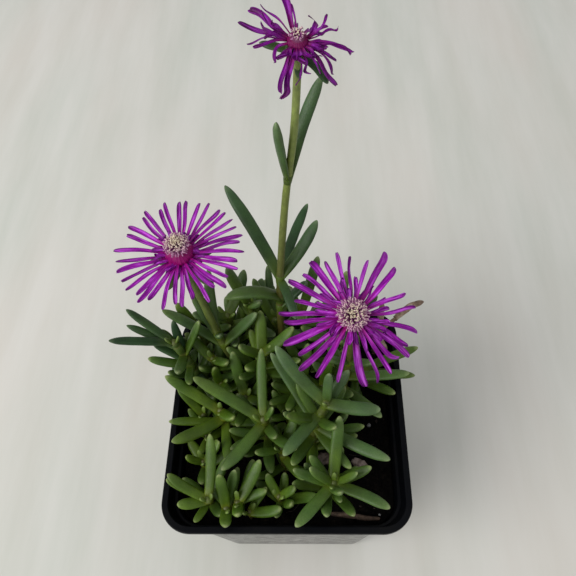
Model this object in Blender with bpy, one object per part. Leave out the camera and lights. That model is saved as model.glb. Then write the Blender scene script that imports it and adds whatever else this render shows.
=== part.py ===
"""A potted ice plant: a square black nursery pot of soil, a low cushion of shoots with thick leaves
in opposite pairs, and three magenta flowers, the tall one of them withering.

Units are metres and +Z is up. The origin is the centre of the pot's underside, on the table. The
front of the pot looks along -Y. Turns are in degrees about +Z, counted from +X; rises are in degrees
above the level.
"""

import math
import random
from collections import namedtuple

import bmesh
import bpy
import numpy as np
from mathutils import Matrix, Vector, noise

MM = 0.001
TOUCH_GAP = 0.3 * MM

# Pot
POT_HEIGHT = 78 * MM
RIM_WIDTH = 90 * MM
RIM_CORNER = 11 * MM
BASE_WIDTH = 66 * MM
BASE_CORNER = 8 * MM
WALL = 1.2 * MM
LIP_OVERHANG = 1.2 * MM
LIP_DEPTH = 2 * MM
COLLAR_DEPTH = 8 * MM
COLLAR_STEP = 1.2 * MM
EDGE_ROUND = 0.5 * MM
FACETS_PER_CORNER = 4
DRAIN_RADIUS = 4 * MM
DRAIN_OFFSET = 19 * MM
DRAIN_FACETS = 8

# Soil
SOIL_LEVEL = 67 * MM
SOIL_BUMP = 1.3 * MM
SOIL_BUMP_SIZE = 9 * MM
SOIL_RINGS = (0.86, 0.66, 0.44, 0.22)
FOOT_DEPTH = 8 * MM
HOLE_FACETS = 6

# Leaves and stems
STEM_FACETS = 6
STEM_TAPER = 0.2
STEM_STEP = 9 * MM
BEND_STEPS = 24
LEAF_STATIONS = (0.0, 0.25, 0.68, 0.93)
LEAF_WIDTHS = (0.60, 0.82, 0.86, 0.44)
LEAF_SECTION = ((-0.5, 0.14), (0.5, 0.14), (0.36, -0.26), (0.0, -0.44), (-0.36, -0.26))
LEAF_SAMPLES = 12
LEAF_CLEARANCE = 0.5 * MM
SIBLING_FREE_SHARE = 0.45
THINNEST_BALL = 0.3

# How far a leaf without room may be turned and raised, in degrees, and shortened.
TURNS_TRIED = range(-45, 46, 5)
RISES_TRIED = range(-20, 41, 5)
SIZES_TRIED = (1.0, 0.9, 0.8, 0.7)
STEEPEST_RISE = 85

# Flowers
PETAL_THICKNESS = 0.8 * MM
PETAL_STATIONS = (0.0, 0.45, 0.88, 1.0)
PETAL_WIDTHS = (0.5, 0.86, 1.0, 0.5)
PETAL_START = 3.0 * MM
LAYER_STEP = 0.75 * MM
DISC_FACETS = 12
DISC_MARGIN = 1.4 * MM
DISC_ROUND = 0.5 * MM
CUP_RADIUS = 3.4 * MM
CUP_MOUTH = 0.8
CUP_DEPTH = 4.2 * MM
CUP_BELLY_AT = 0.3
CUP_NECK = 1.3
CUP_FACETS = 8
SEPAL_DEPTH = 2.4 * MM
STAMEN_FOOT = 0.32 * MM
STAMEN_HEAD = 0.46 * MM
STAMEN_HEAD_AT = 0.85
STAMEN_LEAN = 68
CORE_SHARE = 0.55
CORE_PROFILE = ((0.9, 0.0), (1.0, 0.3), (0.6, 0.75))
CORE_TOP = 0.9
CORE_MIDDLE = 0.15
CORE_FACETS = 8

# Loose bits on the soil
CHIP_LIFT = 0.5 * MM
CHIP_PROFILE = ((0.84, 0.0), (1.0, 0.4), (0.8, 1.0))
TWIG_FACETS = 5

# A leaf stands at a height on its stem, and curls upwards by so many degrees over its length.
Leaf = namedtuple("Leaf", "height turn rise length width curl", defaults=(12,))
Shoot = namedtuple("Shoot", "path thickness leaves")
Petal = namedtuple("Petal", "turn reach width rise curl layer")

# Each stem runs from its foot in the soil, given by X and Y, through points given in millimetres.
SHOOTS = {
    "far_left_shoot": Shoot(
        [(-32, 12), (-35, 14, 80), (-39, 17, 92), (-42, 19, 100)],
        3.4,
        [
            Leaf(100, -171, 20, 24, 4.2, 4),
            Leaf(100, 152, 25, 22, 4.0),
            Leaf(97, 163, 20, 21.5, 3.6),
            Leaf(90, 165, 30, 15, 4.2),
            Leaf(88, 115, 62, 21, 4.0),
            Leaf(84, 144, 37, 16, 4.8),
            Leaf(82, -60, 46, 13, 4.6),
            Leaf(80, 172, 28, 12, 4.4),
        ],
    ),
    "mid_left_shoot": Shoot(
        [(-23, -3), (-24, -3, 76), (-25, -2, 84)],
        3.4,
        [
            Leaf(84, 155, 26, 25, 5.0),
            Leaf(84, -45, 45, 13, 5.0),
            Leaf(79, -148, 14, 22, 5.6, 6),
            Leaf(79, 40, 35, 12, 4.2),
            Leaf(76, -158, 2, 22, 4.2, 4),
        ],
    ),
    "centre_shoot": Shoot(
        [(-7, -10), (-7, -9, 78), (-8, -8, 90)],
        3.4,
        [
            Leaf(90, 155, 22, 30, 5.6),
            Leaf(90, 91, 30, 26, 4.4),
            Leaf(88, -130, 0, 23, 5.4, -6),
            Leaf(86, -60, 40, 12, 4.4),
            Leaf(90, 20, 62, 9, 3.2),
        ],
    ),
    "right_centre_shoot": Shoot(
        [(9, -12), (10, -11, 80), (12, -9, 92), (15, -6, 100)],
        3.4,
        [
            Leaf(100, 135, 24, 27, 5.4),
            Leaf(100, -9, 4, 19, 5.8, 6),
            Leaf(100, 78, 62, 13, 4.2),
            Leaf(95, -128, 10, 21, 5.2, 2),
            Leaf(95, 50, 42, 19, 4.6),
            Leaf(89, 131, 24, 31, 5.0),
            Leaf(89, -28, 4, 29, 5.2, 4),
        ],
    ),
    "inner_shoot": Shoot(
        [(-1, -19), (-1, -18, 74), (-2, -15, 80)],
        3.0,
        [
            Leaf(80, 58, 38, 13, 4.6),
            Leaf(80, -155, 35, 12, 4.2),
            Leaf(76, -50, 20, 14, 4.2),
            Leaf(76, 120, 30, 12, 4.0),
        ],
    ),
    "front_left_shoot": Shoot(
        [(-28, -32), (-28, -33, 76), (-27, -35, 84)],
        3.2,
        [
            Leaf(84, 88, 32, 23, 4.5),
            Leaf(84, 153, 24, 17, 4.2),
            Leaf(82, -168, 12, 11, 4.6),
            Leaf(78, -115, 0, 10, 3.2),
        ],
    ),
    "front_left_side_shoot": Shoot(
        [(-21, -34), (-21, -35, 76), (-21, -37, 80)],
        3.0,
        [
            Leaf(80, 100, 56, 15, 4.6),
            Leaf(80, -84, 32, 8.5, 4.8),
            Leaf(78, 65, 50, 15, 4.2),
            Leaf(77, 165, 40, 9, 3.6),
        ],
    ),
    "front_shoot": Shoot(
        [(-17, -32), (-17, -33, 75), (-17, -35, 80)],
        3.0,
        [
            Leaf(80, 62, 31, 17.5, 4.8),
            Leaf(80, -80, 48, 9, 4.6),
            Leaf(78, 18, 46, 12, 4.0),
        ],
    ),
    "front_low_shoot": Shoot(
        [(-13, -36.5), (-13, -36.5, 71), (-13.5, -36.5, 73)],
        2.6,
        [
            Leaf(73, -2, 30, 14, 4.6),
            Leaf(73, 30, 52, 12, 3.6),
        ],
    ),
    "front_middle_shoot": Shoot(
        [(-2, -32), (-2, -32, 73), (-2.5, -32, 77)],
        2.6,
        [
            Leaf(77, 12, 46, 9, 4.2),
            Leaf(77, 128, 42, 10, 3.8),
            Leaf(73, 80, 34, 10, 3.8),
            Leaf(73, -130, 30, 9, 3.6),
        ],
    ),
    "left_edge_shoot": Shoot(
        [(-33, -1), (-33, -1, 72), (-33, -0.5, 76)],
        2.8,
        [
            Leaf(76, 143, 48, 16, 4.2),
            Leaf(74, 60, 40, 12, 3.8),
        ],
    ),
    "left_wall_shoot": Shoot(
        [(-31, -8), (-31, -8, 71), (-31.5, -8, 74)],
        2.4,
        [
            Leaf(74, 132, 30, 13, 3.6),
            Leaf(72, -100, 26, 9, 3.6),
        ],
    ),
    "left_low_shoot": Shoot(
        [(-31, -19), (-31, -19, 73), (-31.5, -19, 76)],
        2.6,
        [
            Leaf(76, 178, 46, 8, 3.6),
            Leaf(76, 40, 38, 11, 4.0),
            Leaf(74, 100, 34, 10, 3.8),
        ],
    ),
    "left_gap_shoot": Shoot(
        [(-28, 17), (-28, 17, 78), (-29, 18, 88)],
        2.8,
        [
            Leaf(88, 155, 38, 15, 4.8),
            Leaf(88, -40, 42, 13, 4.8),
            Leaf(82, 80, 36, 13, 4.6),
            Leaf(82, -125, 34, 14, 4.8),
        ],
    ),
    "front_right_shoot": Shoot(
        [(15, -27), (15, -28, 76), (17, -30, 86)],
        3.4,
        [
            Leaf(86, 82, 36, 24, 5.0),
            Leaf(86, -131, 6, 20, 5.2, 2),
            Leaf(86, -26, 6, 21, 5.0, 4),
            Leaf(86, 163, 50, 13, 4.4),
            Leaf(84, 2, 48, 13, 3.4),
            Leaf(82, 165, 24, 15, 4.2),
            Leaf(82, -56, 38, 9, 3.4),
        ],
    ),
    "back_centre_shoot": Shoot(
        [(-10, 13), (-10, 14, 82), (-9, 16, 96)],
        3.2,
        [
            Leaf(96, -168, 50, 12, 5.2),
            Leaf(96, 20, 42, 18, 5.0),
            Leaf(91, 95, 42, 20, 5.2),
            Leaf(91, -80, 46, 13, 5.0),
            Leaf(84, 150, 30, 17, 5.0),
            Leaf(84, -25, 30, 14, 4.8),
        ],
    ),
    "left_inner_shoot": Shoot(
        [(-24, 9), (-24, 9, 76), (-26, 10, 83)],
        3.0,
        [
            Leaf(83, -55, 42, 13, 5.0),
            Leaf(83, 125, 60, 12, 4.4),
            Leaf(78, 30, 34, 13, 4.8),
        ],
    ),
    "back_left_shoot": Shoot(
        [(-22, 32), (-22, 32, 80), (-23, 33, 96)],
        3.2,
        [
            Leaf(96, 60, 44, 20, 5.2),
            Leaf(96, -160, 40, 15, 5.0),
            Leaf(90, 150, 32, 20, 5.2),
            Leaf(90, -30, 35, 16, 5.0),
            Leaf(83, 100, 25, 16, 4.8),
            Leaf(83, -85, 30, 14, 4.8),
        ],
    ),
    "back_gap_shoot": Shoot(
        [(-13, 34), (-13, 34, 82), (-14, 35, 101)],
        3.0,
        [
            Leaf(101, 145, 30, 20, 5.4),
            Leaf(101, -45, 44, 13, 4.8),
            Leaf(94, 70, 36, 15, 5.0),
            Leaf(87, -15, 26, 14, 4.8),
        ],
    ),
    "back_shoot": Shoot(
        [(-4, 33), (-4, 33, 82), (-5, 33, 92)],
        3.2,
        [
            Leaf(92, 131, 40, 21, 4.4),
            Leaf(92, 107, 36, 22, 3.8),
            Leaf(87, 60, 40, 17, 4.6),
            Leaf(80, -10, 26, 16, 4.4),
        ],
    ),
    "behind_stem_shoot": Shoot(
        [(6, 35), (6, 35, 80), (6, 36, 93)],
        3.0,
        [
            Leaf(93, 57, 60, 26, 4.8),
            Leaf(93, -85, 44, 14, 4.8),
            Leaf(86, -20, 30, 15, 4.8),
        ],
    ),
    "back_right_shoot": Shoot(
        [(18, 27), (18, 27, 80), (21, 29, 92)],
        3.2,
        [
            Leaf(92, 75, 68, 27, 4.4),
            Leaf(91, -95, 38, 16, 4.8),
            Leaf(85, 170, 34, 16, 4.6),
            Leaf(85, 5, 36, 18, 4.8),
            Leaf(79, 45, 24, 16, 4.4),
        ],
    ),
    "middle_shoot": Shoot(
        [(5, 5), (5, 5, 78), (5, 6, 86)],
        3.0,
        [
            Leaf(86, 75, 40, 18, 4.8),
            Leaf(86, -110, 40, 13, 4.6),
            Leaf(81, 0, 34, 16, 4.6),
            Leaf(81, 170, 34, 13, 4.4),
        ],
    ),
    "left_middle_shoot": Shoot(
        [(-15, 3), (-15, 3, 76), (-16, 4, 83)],
        3.0,
        [
            Leaf(83, 138, 34, 19, 5.2),
            Leaf(83, -30, 28, 14, 4.6),
            Leaf(79, 45, 34, 15, 4.4),
            Leaf(79, -105, 28, 13, 4.4),
        ],
    ),
    "left_rear_shoot": Shoot(
        [(-32, 26), (-32, 26, 78), (-34, 28, 91)],
        3.0,
        [
            Leaf(91, 140, 44, 16, 5.0),
            Leaf(91, -40, 32, 13, 4.8),
            Leaf(85, 60, 30, 15, 5.0),
            Leaf(85, -130, 36, 15, 4.8),
        ],
    ),
    "right_gap_shoot": Shoot(
        [(14, 5), (14, 5, 78), (14, 6, 88)],
        2.8,
        [
            Leaf(88, 70, 44, 15, 4.8),
            Leaf(88, -100, 46, 12, 4.6),
            Leaf(83, 160, 32, 13, 4.6),
            Leaf(83, -20, 32, 14, 4.6),
        ],
    ),
    "centre_back_shoot": Shoot(
        [(7, 17), (7, 17, 78), (7, 17, 84)],
        2.8,
        [
            Leaf(84, 140, 46, 13, 4.4),
            Leaf(84, -5, 34, 13, 4.4),
            Leaf(80, 45, 36, 14, 4.4),
            Leaf(80, -140, 36, 12, 4.2),
        ],
    ),
    "centre_low_shoot": Shoot(
        [(1, -3), (1, -3, 75), (1, -2, 80)],
        2.8,
        [
            Leaf(80, 40, 40, 14, 4.4),
            Leaf(80, -145, 36, 12, 4.2),
            Leaf(77, 125, 30, 13, 4.2),
            Leaf(77, -50, 30, 12, 4.2),
        ],
    ),
    "right_shoot": Shoot(
        [(27, 15), (27, 15, 77), (29, 15, 83)],
        3.0,
        [
            Leaf(83, 14, 19, 24, 4.8),
            Leaf(83, -9, 4, 21, 4.6, 14),
            Leaf(83, -150, 40, 14, 4.4),
            Leaf(79, 110, 30, 15, 4.4),
        ],
    ),
}

WITHERED_SHOOT = Shoot(
    [(36, 31), (36, 32, 76), (40, 35, 82), (44, 37, 85)],
    2.0,
    [
        Leaf(85, 22, 25, 15, 3.6, -90),
        Leaf(80, 84, 50, 13, 2.6, 10),
        Leaf(78, -60, 12, 9, 2.8, -20),
    ],
)

FLOWER_STEMS = {
    "tall_flower_stem": Shoot(
        [(-2, 23), (-2, 28, 92), (-1, 34, 118), (2.4, 43, 150), (6.4, 49, 176), (8.4, 54, 197.5)],
        2.9,
        [
            Leaf(120, 124, 24, 40, 5.6, 6),
            Leaf(120, 49, 32, 24.5, 5.4),
            Leaf(119, 70, 14, 32, 4.4, 6),
            Leaf(119, -70, -8, 17, 4.0, -30),
            Leaf(110, -174, 11, 23, 6.4, -100),
            Leaf(106, 20, 42, 15, 5.0),
            Leaf(160, -165, 84, 23, 5.2, 0),
            Leaf(160, 57, 49, 32.5, 4.8, 6),
        ],
    ),
    "left_flower_stem": Shoot(
        [(-19, 19), (-21, 20, 80), (-25, 23, 93), (-30, 29, 112), (-34, 34, 128.5)],
        3.2,
        [
            Leaf(92, 161, 28, 27, 5.2),
            Leaf(92, 18, 44, 21, 5.6),
            Leaf(97, 132, 56, 21, 4.4),
            Leaf(98, 96, 48, 25, 4.6),
            Leaf(97, -70, 55, 10, 3.8),
        ],
    ),
    "right_flower_stem": Shoot(
        [(21, 5), (21, 6, 80), (24, 12, 100), (24.2, 15.4, 122.5)],
        3.0,
        [
            Leaf(84, -46, 13, 20, 4.6, 2),
            Leaf(84, 150, 34, 16, 4.6),
            Leaf(90, -4, 14, 24, 4.8, 4),
            Leaf(90, 120, 40, 18, 4.8),
            Leaf(98, -30, 40, 12, 4.2),
            Leaf(98, -160, 44, 12, 4.2),
        ],
    ),
}

WITHERED_NAME = "withered_shoot"

# Where each flower's petals are set on, the way it faces, and how wide its bunch of stamens is.
Bloom = namedtuple("Bloom", "centre facing petals stamens stamen_reach sepals")
Sepal = namedtuple("Sepal", "turn rise length width curl")

LEFT_TURNS = (
    -171, -158, -147, -138, -129, -120, -110, -101, -91, -80, -70, -61, -52, -43, -33, -22, -11, -2,
    8, 17, 26, 36, 45, 54, 64, 74, 86, 97, 107, 118, 129, 138, 148, 160, 174,
)
LEFT_PETALS = [
    Petal(turn, 22 + 1.2 * math.sin(3 * index), 1.8, 13 - 4 * (index % 3), -8, index % 3)
    for index, turn in enumerate(LEFT_TURNS)
]
RIGHT_PETALS = [
    Petal(-172, 23, 2.0, 4, 8, 0),
    Petal(-158, 24.5, 3.4, 2, 6, 1),
    Petal(-143, 22, 1.8, 0, -6, 2),
    Petal(-132, 25, 2.3, 6, -10, 0),
    Petal(-121, 23.5, 2.8, 3, -8, 1),
    Petal(-103, 22.5, 1.8, 2, -12, 2),
    Petal(-86, 23.5, 3.2, 6, -12, 0),
    Petal(-69, 23.5, 1.4, 4, -6, 1),
    Petal(-56, 22.5, 2.2, 2, -12, 2),
    Petal(-46, 20.5, 2.0, 5, -8, 0),
    Petal(-36, 22.5, 2.2, 3, 4, 1),
    Petal(-25, 20.5, 1.8, 1, -10, 2),
    Petal(-15, 22, 2.0, 6, -12, 0),
    Petal(2, 21, 1.5, 8, 6, 1),
    Petal(22, 19, 1.6, 4, 6, 2),
    Petal(42, 21.5, 2.6, 8, -6, 0),
    Petal(58, 24, 3.0, 4, 4, 1),
    Petal(76, 19, 1.8, 2, 6, 2),
    Petal(93, 20, 1.8, 8, 10, 0),
    Petal(102, 21.5, 1.8, 4, 8, 1),
    Petal(115, 20, 1.8, 2, 4, 2),
    Petal(127, 23, 2.8, 6, -4, 0),
    Petal(139, 21.5, 2.2, 4, -8, 1),
    Petal(150, 24, 2.2, 2, -4, 2),
    Petal(163, 20, 1.8, 6, -6, 0),
    Petal(176, 24.5, 2.2, 4, -8, 1),
]
TOP_PETALS = [
    Petal(158, 17, 1.8, 8, -4, 0),
    Petal(149, 16, 2.2, 16, -12, 1),
    Petal(142, 14, 1.2, -6, 12, 0),
    Petal(110, 17, 2.8, 34, -10, 1),
    Petal(30, 8, 2.0, 20, 20, 1),
    Petal(14, 9.5, 1.4, 36, 30, 2),
    Petal(-4, 15.5, 1.4, 18, -44, 1),
    Petal(-18, 13, 1.4, 6, -74, 0),
    Petal(-37, 17.5, 2.2, -16, -78, 1),
    Petal(-64, 9, 1.2, -40, -20, 0),
    Petal(-106, 16, 2.4, -26, -60, 1),
    Petal(-117, 13.5, 1.8, -34, -40, 0),
    Petal(-125, 14.6, 1.6, -38, -30, 1),
    Petal(176, 9, 1.4, 34, -50, 2),
    Petal(62, 12, 1.8, 0, -80, 0),
    Petal(92, 11, 1.6, 4, -80, 1),
]

LEFT_SEPALS = [
    Sepal(28, -10, 12, 3.2, 14),
    Sepal(100, -10, 12, 3.2, 14),
    Sepal(172, -10, 13, 3.2, 14),
    Sepal(-118, -14, 12, 3.2, 14),
    Sepal(-44, -14, 13, 3.4, 14),
]
RIGHT_SEPALS = [
    Sepal(40, -12, 12, 3.4, 14),
    Sepal(112, -12, 11, 3.4, 14),
    Sepal(184, -12, 12, 3.4, 14),
    Sepal(-104, -16, 11, 3.4, 14),
    Sepal(-32, -12, 13, 3.4, 14),
]
TOP_SEPALS = [
    Sepal(-31, -34, 12.5, 3.4, -40),
    Sepal(26, -10, 9, 2.8, -10),
    Sepal(96, -8, 7.5, 2.8, -10),
    Sepal(165, 2, 11, 3.0, 10),
    Sepal(-84, -44, 7, 2.6, -20),
]

BLOOMS = {
    "tall": Bloom((8.4, 54.6, 201.5), (0.05, -0.25, 1.0), TOP_PETALS, 10, 2.8, TOP_SEPALS),
    "left": Bloom((-34.6, 34.7, 134.0), (-0.03, -0.05, 1.0), LEFT_PETALS, 22, 5.8, LEFT_SEPALS),
    "right": Bloom((24.0, 12.8, 128.0), (0.0, -0.42, 0.9), RIGHT_PETALS, 28, 7.0, RIGHT_SEPALS),
}

# Bark chips that lie on the soil: middle, length, width, thickness and turn. The last is a round twig.
Chip = namedtuple("Chip", "x y length width thickness turn")
CHIPS = {
    "bark_chip_front": Chip(13, -15.5, 8, 5.5, 1.8, 15),
    "bark_chip_right": Chip(28, -17.5, 8, 4.5, 1.6, -35),
    "bark_chip_small": Chip(22.5, -22, 4.5, 2.5, 1.2, -25),
    "bark_chip_left": Chip(-18.5, -8.5, 7, 4, 1.8, -55),
}
TWIG = Chip(25, -37, 18, 2.2, 2.2, -6)
CHIP_OUTLINE = ((-0.5, -0.2), (-0.12, -0.5), (0.42, -0.36), (0.5, 0.22), (0.06, 0.5), (-0.42, 0.3))
TWIG_STATIONS = ((-0.5, 0.34, 0.0), (-0.15, 0.5, 0.2), (0.2, 0.42, -0.1), (0.5, 0.28, 0.15))

COLOURS = {
    "pot": ((0.010, 0.011, 0.013), 0.35),
    "soil": ((0.018, 0.013, 0.009), 0.95),
    "leaf": ((0.095, 0.17, 0.045), 0.5),
    "petal": ((0.36, 0.012, 0.34), 0.5),
    "withered_petal": ((0.20, 0.010, 0.18), 0.6),
    "stamen": ((0.72, 0.50, 0.48), 0.6),
    "withered": ((0.22, 0.14, 0.09), 0.8),
    "bark": ((0.26, 0.20, 0.16), 0.85),
}


def clear_scene():
    for old in list(bpy.data.objects):
        bpy.data.objects.remove(old)


def material(name):
    found = bpy.data.materials.get(name)
    if found:
        return found
    colour, roughness = COLOURS[name]
    made = bpy.data.materials.new(name)
    made.use_nodes = True
    surface = made.node_tree.nodes["Principled BSDF"]
    surface.inputs["Base Color"].default_value = (*colour, 1.0)
    surface.inputs["Roughness"].default_value = roughness
    made.diffuse_color = (*colour, 1.0)
    return made


def object_of(name, mesh, finish):
    made = bpy.data.objects.new(name, mesh)
    made.data.materials.clear()
    made.data.materials.append(material(finish))
    mesh.shade_smooth()
    mesh.set_sharp_from_angle(angle=math.radians(35))
    bpy.context.scene.collection.objects.link(made)
    return made


def loft(name, rings, tip=None):
    """A closed mesh through rings of equally many points, capped at both ends, or drawn to a tip."""
    shape = bmesh.new()
    rows = [[shape.verts.new(point) for point in ring] for ring in rings]
    count = len(rings[0])
    for low, high in zip(rows, rows[1:]):
        for at in range(count):
            after = (at + 1) % count
            shape.faces.new((low[at], low[after], high[after], high[at]))
    shape.faces.new(rows[0])
    if tip is None:
        shape.faces.new(rows[-1])
    else:
        point = shape.verts.new(tip)
        for at in range(count):
            shape.faces.new((rows[-1][at], rows[-1][(at + 1) % count], point))
    bmesh.ops.recalc_face_normals(shape, faces=shape.faces)
    mesh = bpy.data.meshes.new(name)
    shape.to_mesh(mesh)
    shape.free()
    return mesh


def joined(name, pieces, finish):
    """One body made of overlapping meshes. There are too many pieces for the exact solver's speed."""
    if len(pieces) == 1:
        return object_of(name, pieces[0], finish)
    holder = bpy.data.collections.new(name + "_pieces")
    bpy.context.scene.collection.children.link(holder)
    for piece in pieces[1:]:
        holder.objects.link(bpy.data.objects.new(name + "_piece", piece))
    whole = object_of(name, pieces[0], finish)
    union = whole.modifiers.new("Union", "BOOLEAN")
    union.operation = "UNION"
    union.operand_type = "COLLECTION"
    union.collection = holder
    union.solver = "MANIFOLD"
    bpy.context.view_layer.update()
    evaluated = whole.evaluated_get(bpy.context.evaluated_depsgraph_get())
    fused = bpy.data.meshes.new_from_object(evaluated)
    whole.modifiers.clear()
    for old in list(holder.objects):
        bpy.data.objects.remove(old)
    bpy.data.collections.remove(holder)
    bpy.data.objects.remove(whole)
    return object_of(name, fused, finish)


def cut(target, cutters):
    """Takes the cutters, which are closed meshes clear of each other, out of the target."""
    holder = bpy.data.collections.new(target.name + "_cutters")
    bpy.context.scene.collection.children.link(holder)
    for index, mesh in enumerate(cutters):
        tool = bpy.data.objects.new(f"{target.name}_cutter_{index}", mesh)
        tool.hide_render = True
        tool.display_type = "WIRE"
        holder.objects.link(tool)
    difference = target.modifiers.new("Holes", "BOOLEAN")
    difference.operation = "DIFFERENCE"
    difference.operand_type = "COLLECTION"
    difference.collection = holder
    difference.solver = "EXACT"


def circle(radius, z, facets, centre=(0.0, 0.0)):
    turns = [2 * math.pi * at / facets for at in range(facets)]
    return [
        Vector((centre[0] + radius * math.cos(a), centre[1] + radius * math.sin(a), z))
        for a in turns
    ]


def rounded_square(width, corner, z):
    inner = width / 2 - corner
    points = []
    for quarter in range(4):
        start = math.pi / 2 * quarter
        signs = (math.cos(start + math.pi / 4), math.sin(start + math.pi / 4))
        centre = (math.copysign(inner, signs[0]), math.copysign(inner, signs[1]))
        for step in range(FACETS_PER_CORNER + 1):
            angle = start + math.pi / 2 * step / FACETS_PER_CORNER
            points.append(
                Vector((centre[0] + corner * math.cos(angle), centre[1] + corner * math.sin(angle), z))
            )
    return points


def wall_width(z):
    """Outside width of the tapered wall at a height, without the collar and the lip."""
    top = RIM_WIDTH - 2 * (LIP_OVERHANG + COLLAR_STEP)
    return BASE_WIDTH + (top - BASE_WIDTH) * z / POT_HEIGHT


def wall_corner(z):
    return BASE_CORNER + (RIM_CORNER - BASE_CORNER) * z / POT_HEIGHT


def inside_width(z):
    """Inside width of the pot at a height, with the wider space in the collar."""
    in_collar = z > POT_HEIGHT - COLLAR_DEPTH + WALL
    return wall_width(z) - 2 * WALL + (2 * COLLAR_STEP if in_collar else 0)


def make_pot():
    collar_foot = POT_HEIGHT - COLLAR_DEPTH
    collar_inside = collar_foot + WALL
    above_step = collar_inside - EDGE_ROUND
    lip_foot = POT_HEIGHT - LIP_DEPTH

    def ring(width, z, corner=None):
        return rounded_square(width, corner or wall_corner(z), z)

    rings = [
        ring(BASE_WIDTH - 2 * EDGE_ROUND, 0.0),
        ring(wall_width(EDGE_ROUND), EDGE_ROUND),
        ring(wall_width(collar_foot), collar_foot),
        ring(wall_width(collar_foot) + 2 * COLLAR_STEP, collar_foot + EDGE_ROUND),
        ring(wall_width(lip_foot) + 2 * COLLAR_STEP, lip_foot),
        ring(RIM_WIDTH, lip_foot + EDGE_ROUND / 2, RIM_CORNER),
        ring(RIM_WIDTH, POT_HEIGHT - EDGE_ROUND, RIM_CORNER),
        ring(RIM_WIDTH - 2 * EDGE_ROUND, POT_HEIGHT, RIM_CORNER - EDGE_ROUND),
        ring(inside_width(POT_HEIGHT) + EDGE_ROUND, POT_HEIGHT, RIM_CORNER - LIP_OVERHANG - WALL),
        ring(inside_width(POT_HEIGHT), POT_HEIGHT - EDGE_ROUND, RIM_CORNER - LIP_OVERHANG - WALL),
        ring(inside_width(collar_inside + EDGE_ROUND), collar_inside + EDGE_ROUND),
        ring(inside_width(above_step), above_step, wall_corner(above_step) - WALL),
        ring(inside_width(WALL), WALL, wall_corner(WALL) - WALL),
    ]
    pot = object_of("pot", loft("pot", rings), "pot")
    drains = []
    for x in (-DRAIN_OFFSET, DRAIN_OFFSET):
        for y in (-DRAIN_OFFSET, DRAIN_OFFSET):
            ends = [circle(DRAIN_RADIUS, z, DRAIN_FACETS, (x, y)) for z in (-WALL, 2 * WALL)]
            drains.append(loft("drain", ends))
    cut(pot, drains)


def soil_height(x, y):
    place = Vector((x, y, 0)) / SOIL_BUMP_SIZE
    return SOIL_LEVEL + SOIL_BUMP * noise.noise(place)


def make_soil(feet):
    side_gap = 2 * TOUCH_GAP
    floor = WALL + TOUCH_GAP
    edge = rounded_square(inside_width(SOIL_LEVEL) - side_gap, wall_corner(SOIL_LEVEL) - WALL, SOIL_LEVEL)
    rings = [
        rounded_square(inside_width(floor) - side_gap, wall_corner(floor) - WALL, floor),
        edge,
    ]
    for share in SOIL_RINGS:
        ring = []
        for point in edge:
            x, y = point.x * share, point.y * share
            ring.append(Vector((x, y, soil_height(x, y))))
        rings.append(ring)
    soil = object_of("soil", loft("soil", rings, Vector((0, 0, soil_height(0, 0)))), "soil")
    holes = []
    for (x, y), radius in feet:
        bottom = SOIL_LEVEL - FOOT_DEPTH - TOUCH_GAP
        top = SOIL_LEVEL + 3 * SOIL_BUMP
        ends = [circle(radius + TOUCH_GAP, z, HOLE_FACETS, (x, y)) for z in (bottom, top)]
        holes.append(loft("hole", ends))
    cut(soil, holes)


def smooth_path(points, step):
    """Points about a step apart on the Catmull-Rom curve through the given points."""
    padded = [2 * points[0] - points[1], *points, 2 * points[-1] - points[-2]]
    found = [points[0]]
    for before, start, end, after in zip(padded, padded[1:], padded[2:], padded[3:]):
        count = max(1, round((end - start).length / step))
        for index in range(1, count + 1):
            t = index / count
            found.append(
                0.5
                * (
                    2 * start
                    + (end - before) * t
                    + (2 * before - 5 * start + 4 * end - after) * t**2
                    + (3 * start - before - 3 * end + after) * t**3
                )
            )
    return found


def stem_points(shoot, step):
    """The stem's middle line: straight up out of the soil, then through the shoot's points."""
    x, y = (value * MM for value in shoot.path[0])
    foot = [Vector((x, y, SOIL_LEVEL - FOOT_DEPTH)), Vector((x, y, SOIL_LEVEL + 3 * MM))]
    rest = [Vector(point) * MM for point in shoot.path[1:]]
    return [foot[0], *smooth_path([foot[1], *rest], step)]


def stem_radius(shoot, z, top):
    """Stems thin a little from their foot to their top."""
    share = (z - SOIL_LEVEL) / (top - SOIL_LEVEL)
    return shoot.thickness * MM / 2 * (1 - STEM_TAPER * min(1, max(0, share)))


def tube_rings(points, radii, facets):
    """Rings of a round tube along points, kept from twisting."""
    rings = []
    side = Vector((1, 0, 0))
    for index, point in enumerate(points):
        ahead = points[min(index + 1, len(points) - 1)] - points[max(index - 1, 0)]
        along = ahead.normalized()
        side = (side - along * side.dot(along)).normalized()
        other = along.cross(side)
        turns = [2 * math.pi * at / facets for at in range(facets)]
        rings.append(
            [point + radii[index] * (side * math.cos(a) + other * math.sin(a)) for a in turns]
        )
    return rings


def stem_mesh(shoot):
    points = stem_points(shoot, STEM_STEP)
    top = points[-1].z
    radii = [stem_radius(shoot, point.z, top) for point in points]
    tip = points[-1] + Vector((0, 0, radii[-1]))
    return loft("stem", tube_rings(points, radii, STEM_FACETS), tip)


def point_at_height(points, z):
    for low, high in zip(points, points[1:]):
        if low.z <= z <= high.z:
            return low.lerp(high, (z - low.z) / (high.z - low.z))
    return points[-1]


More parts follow.
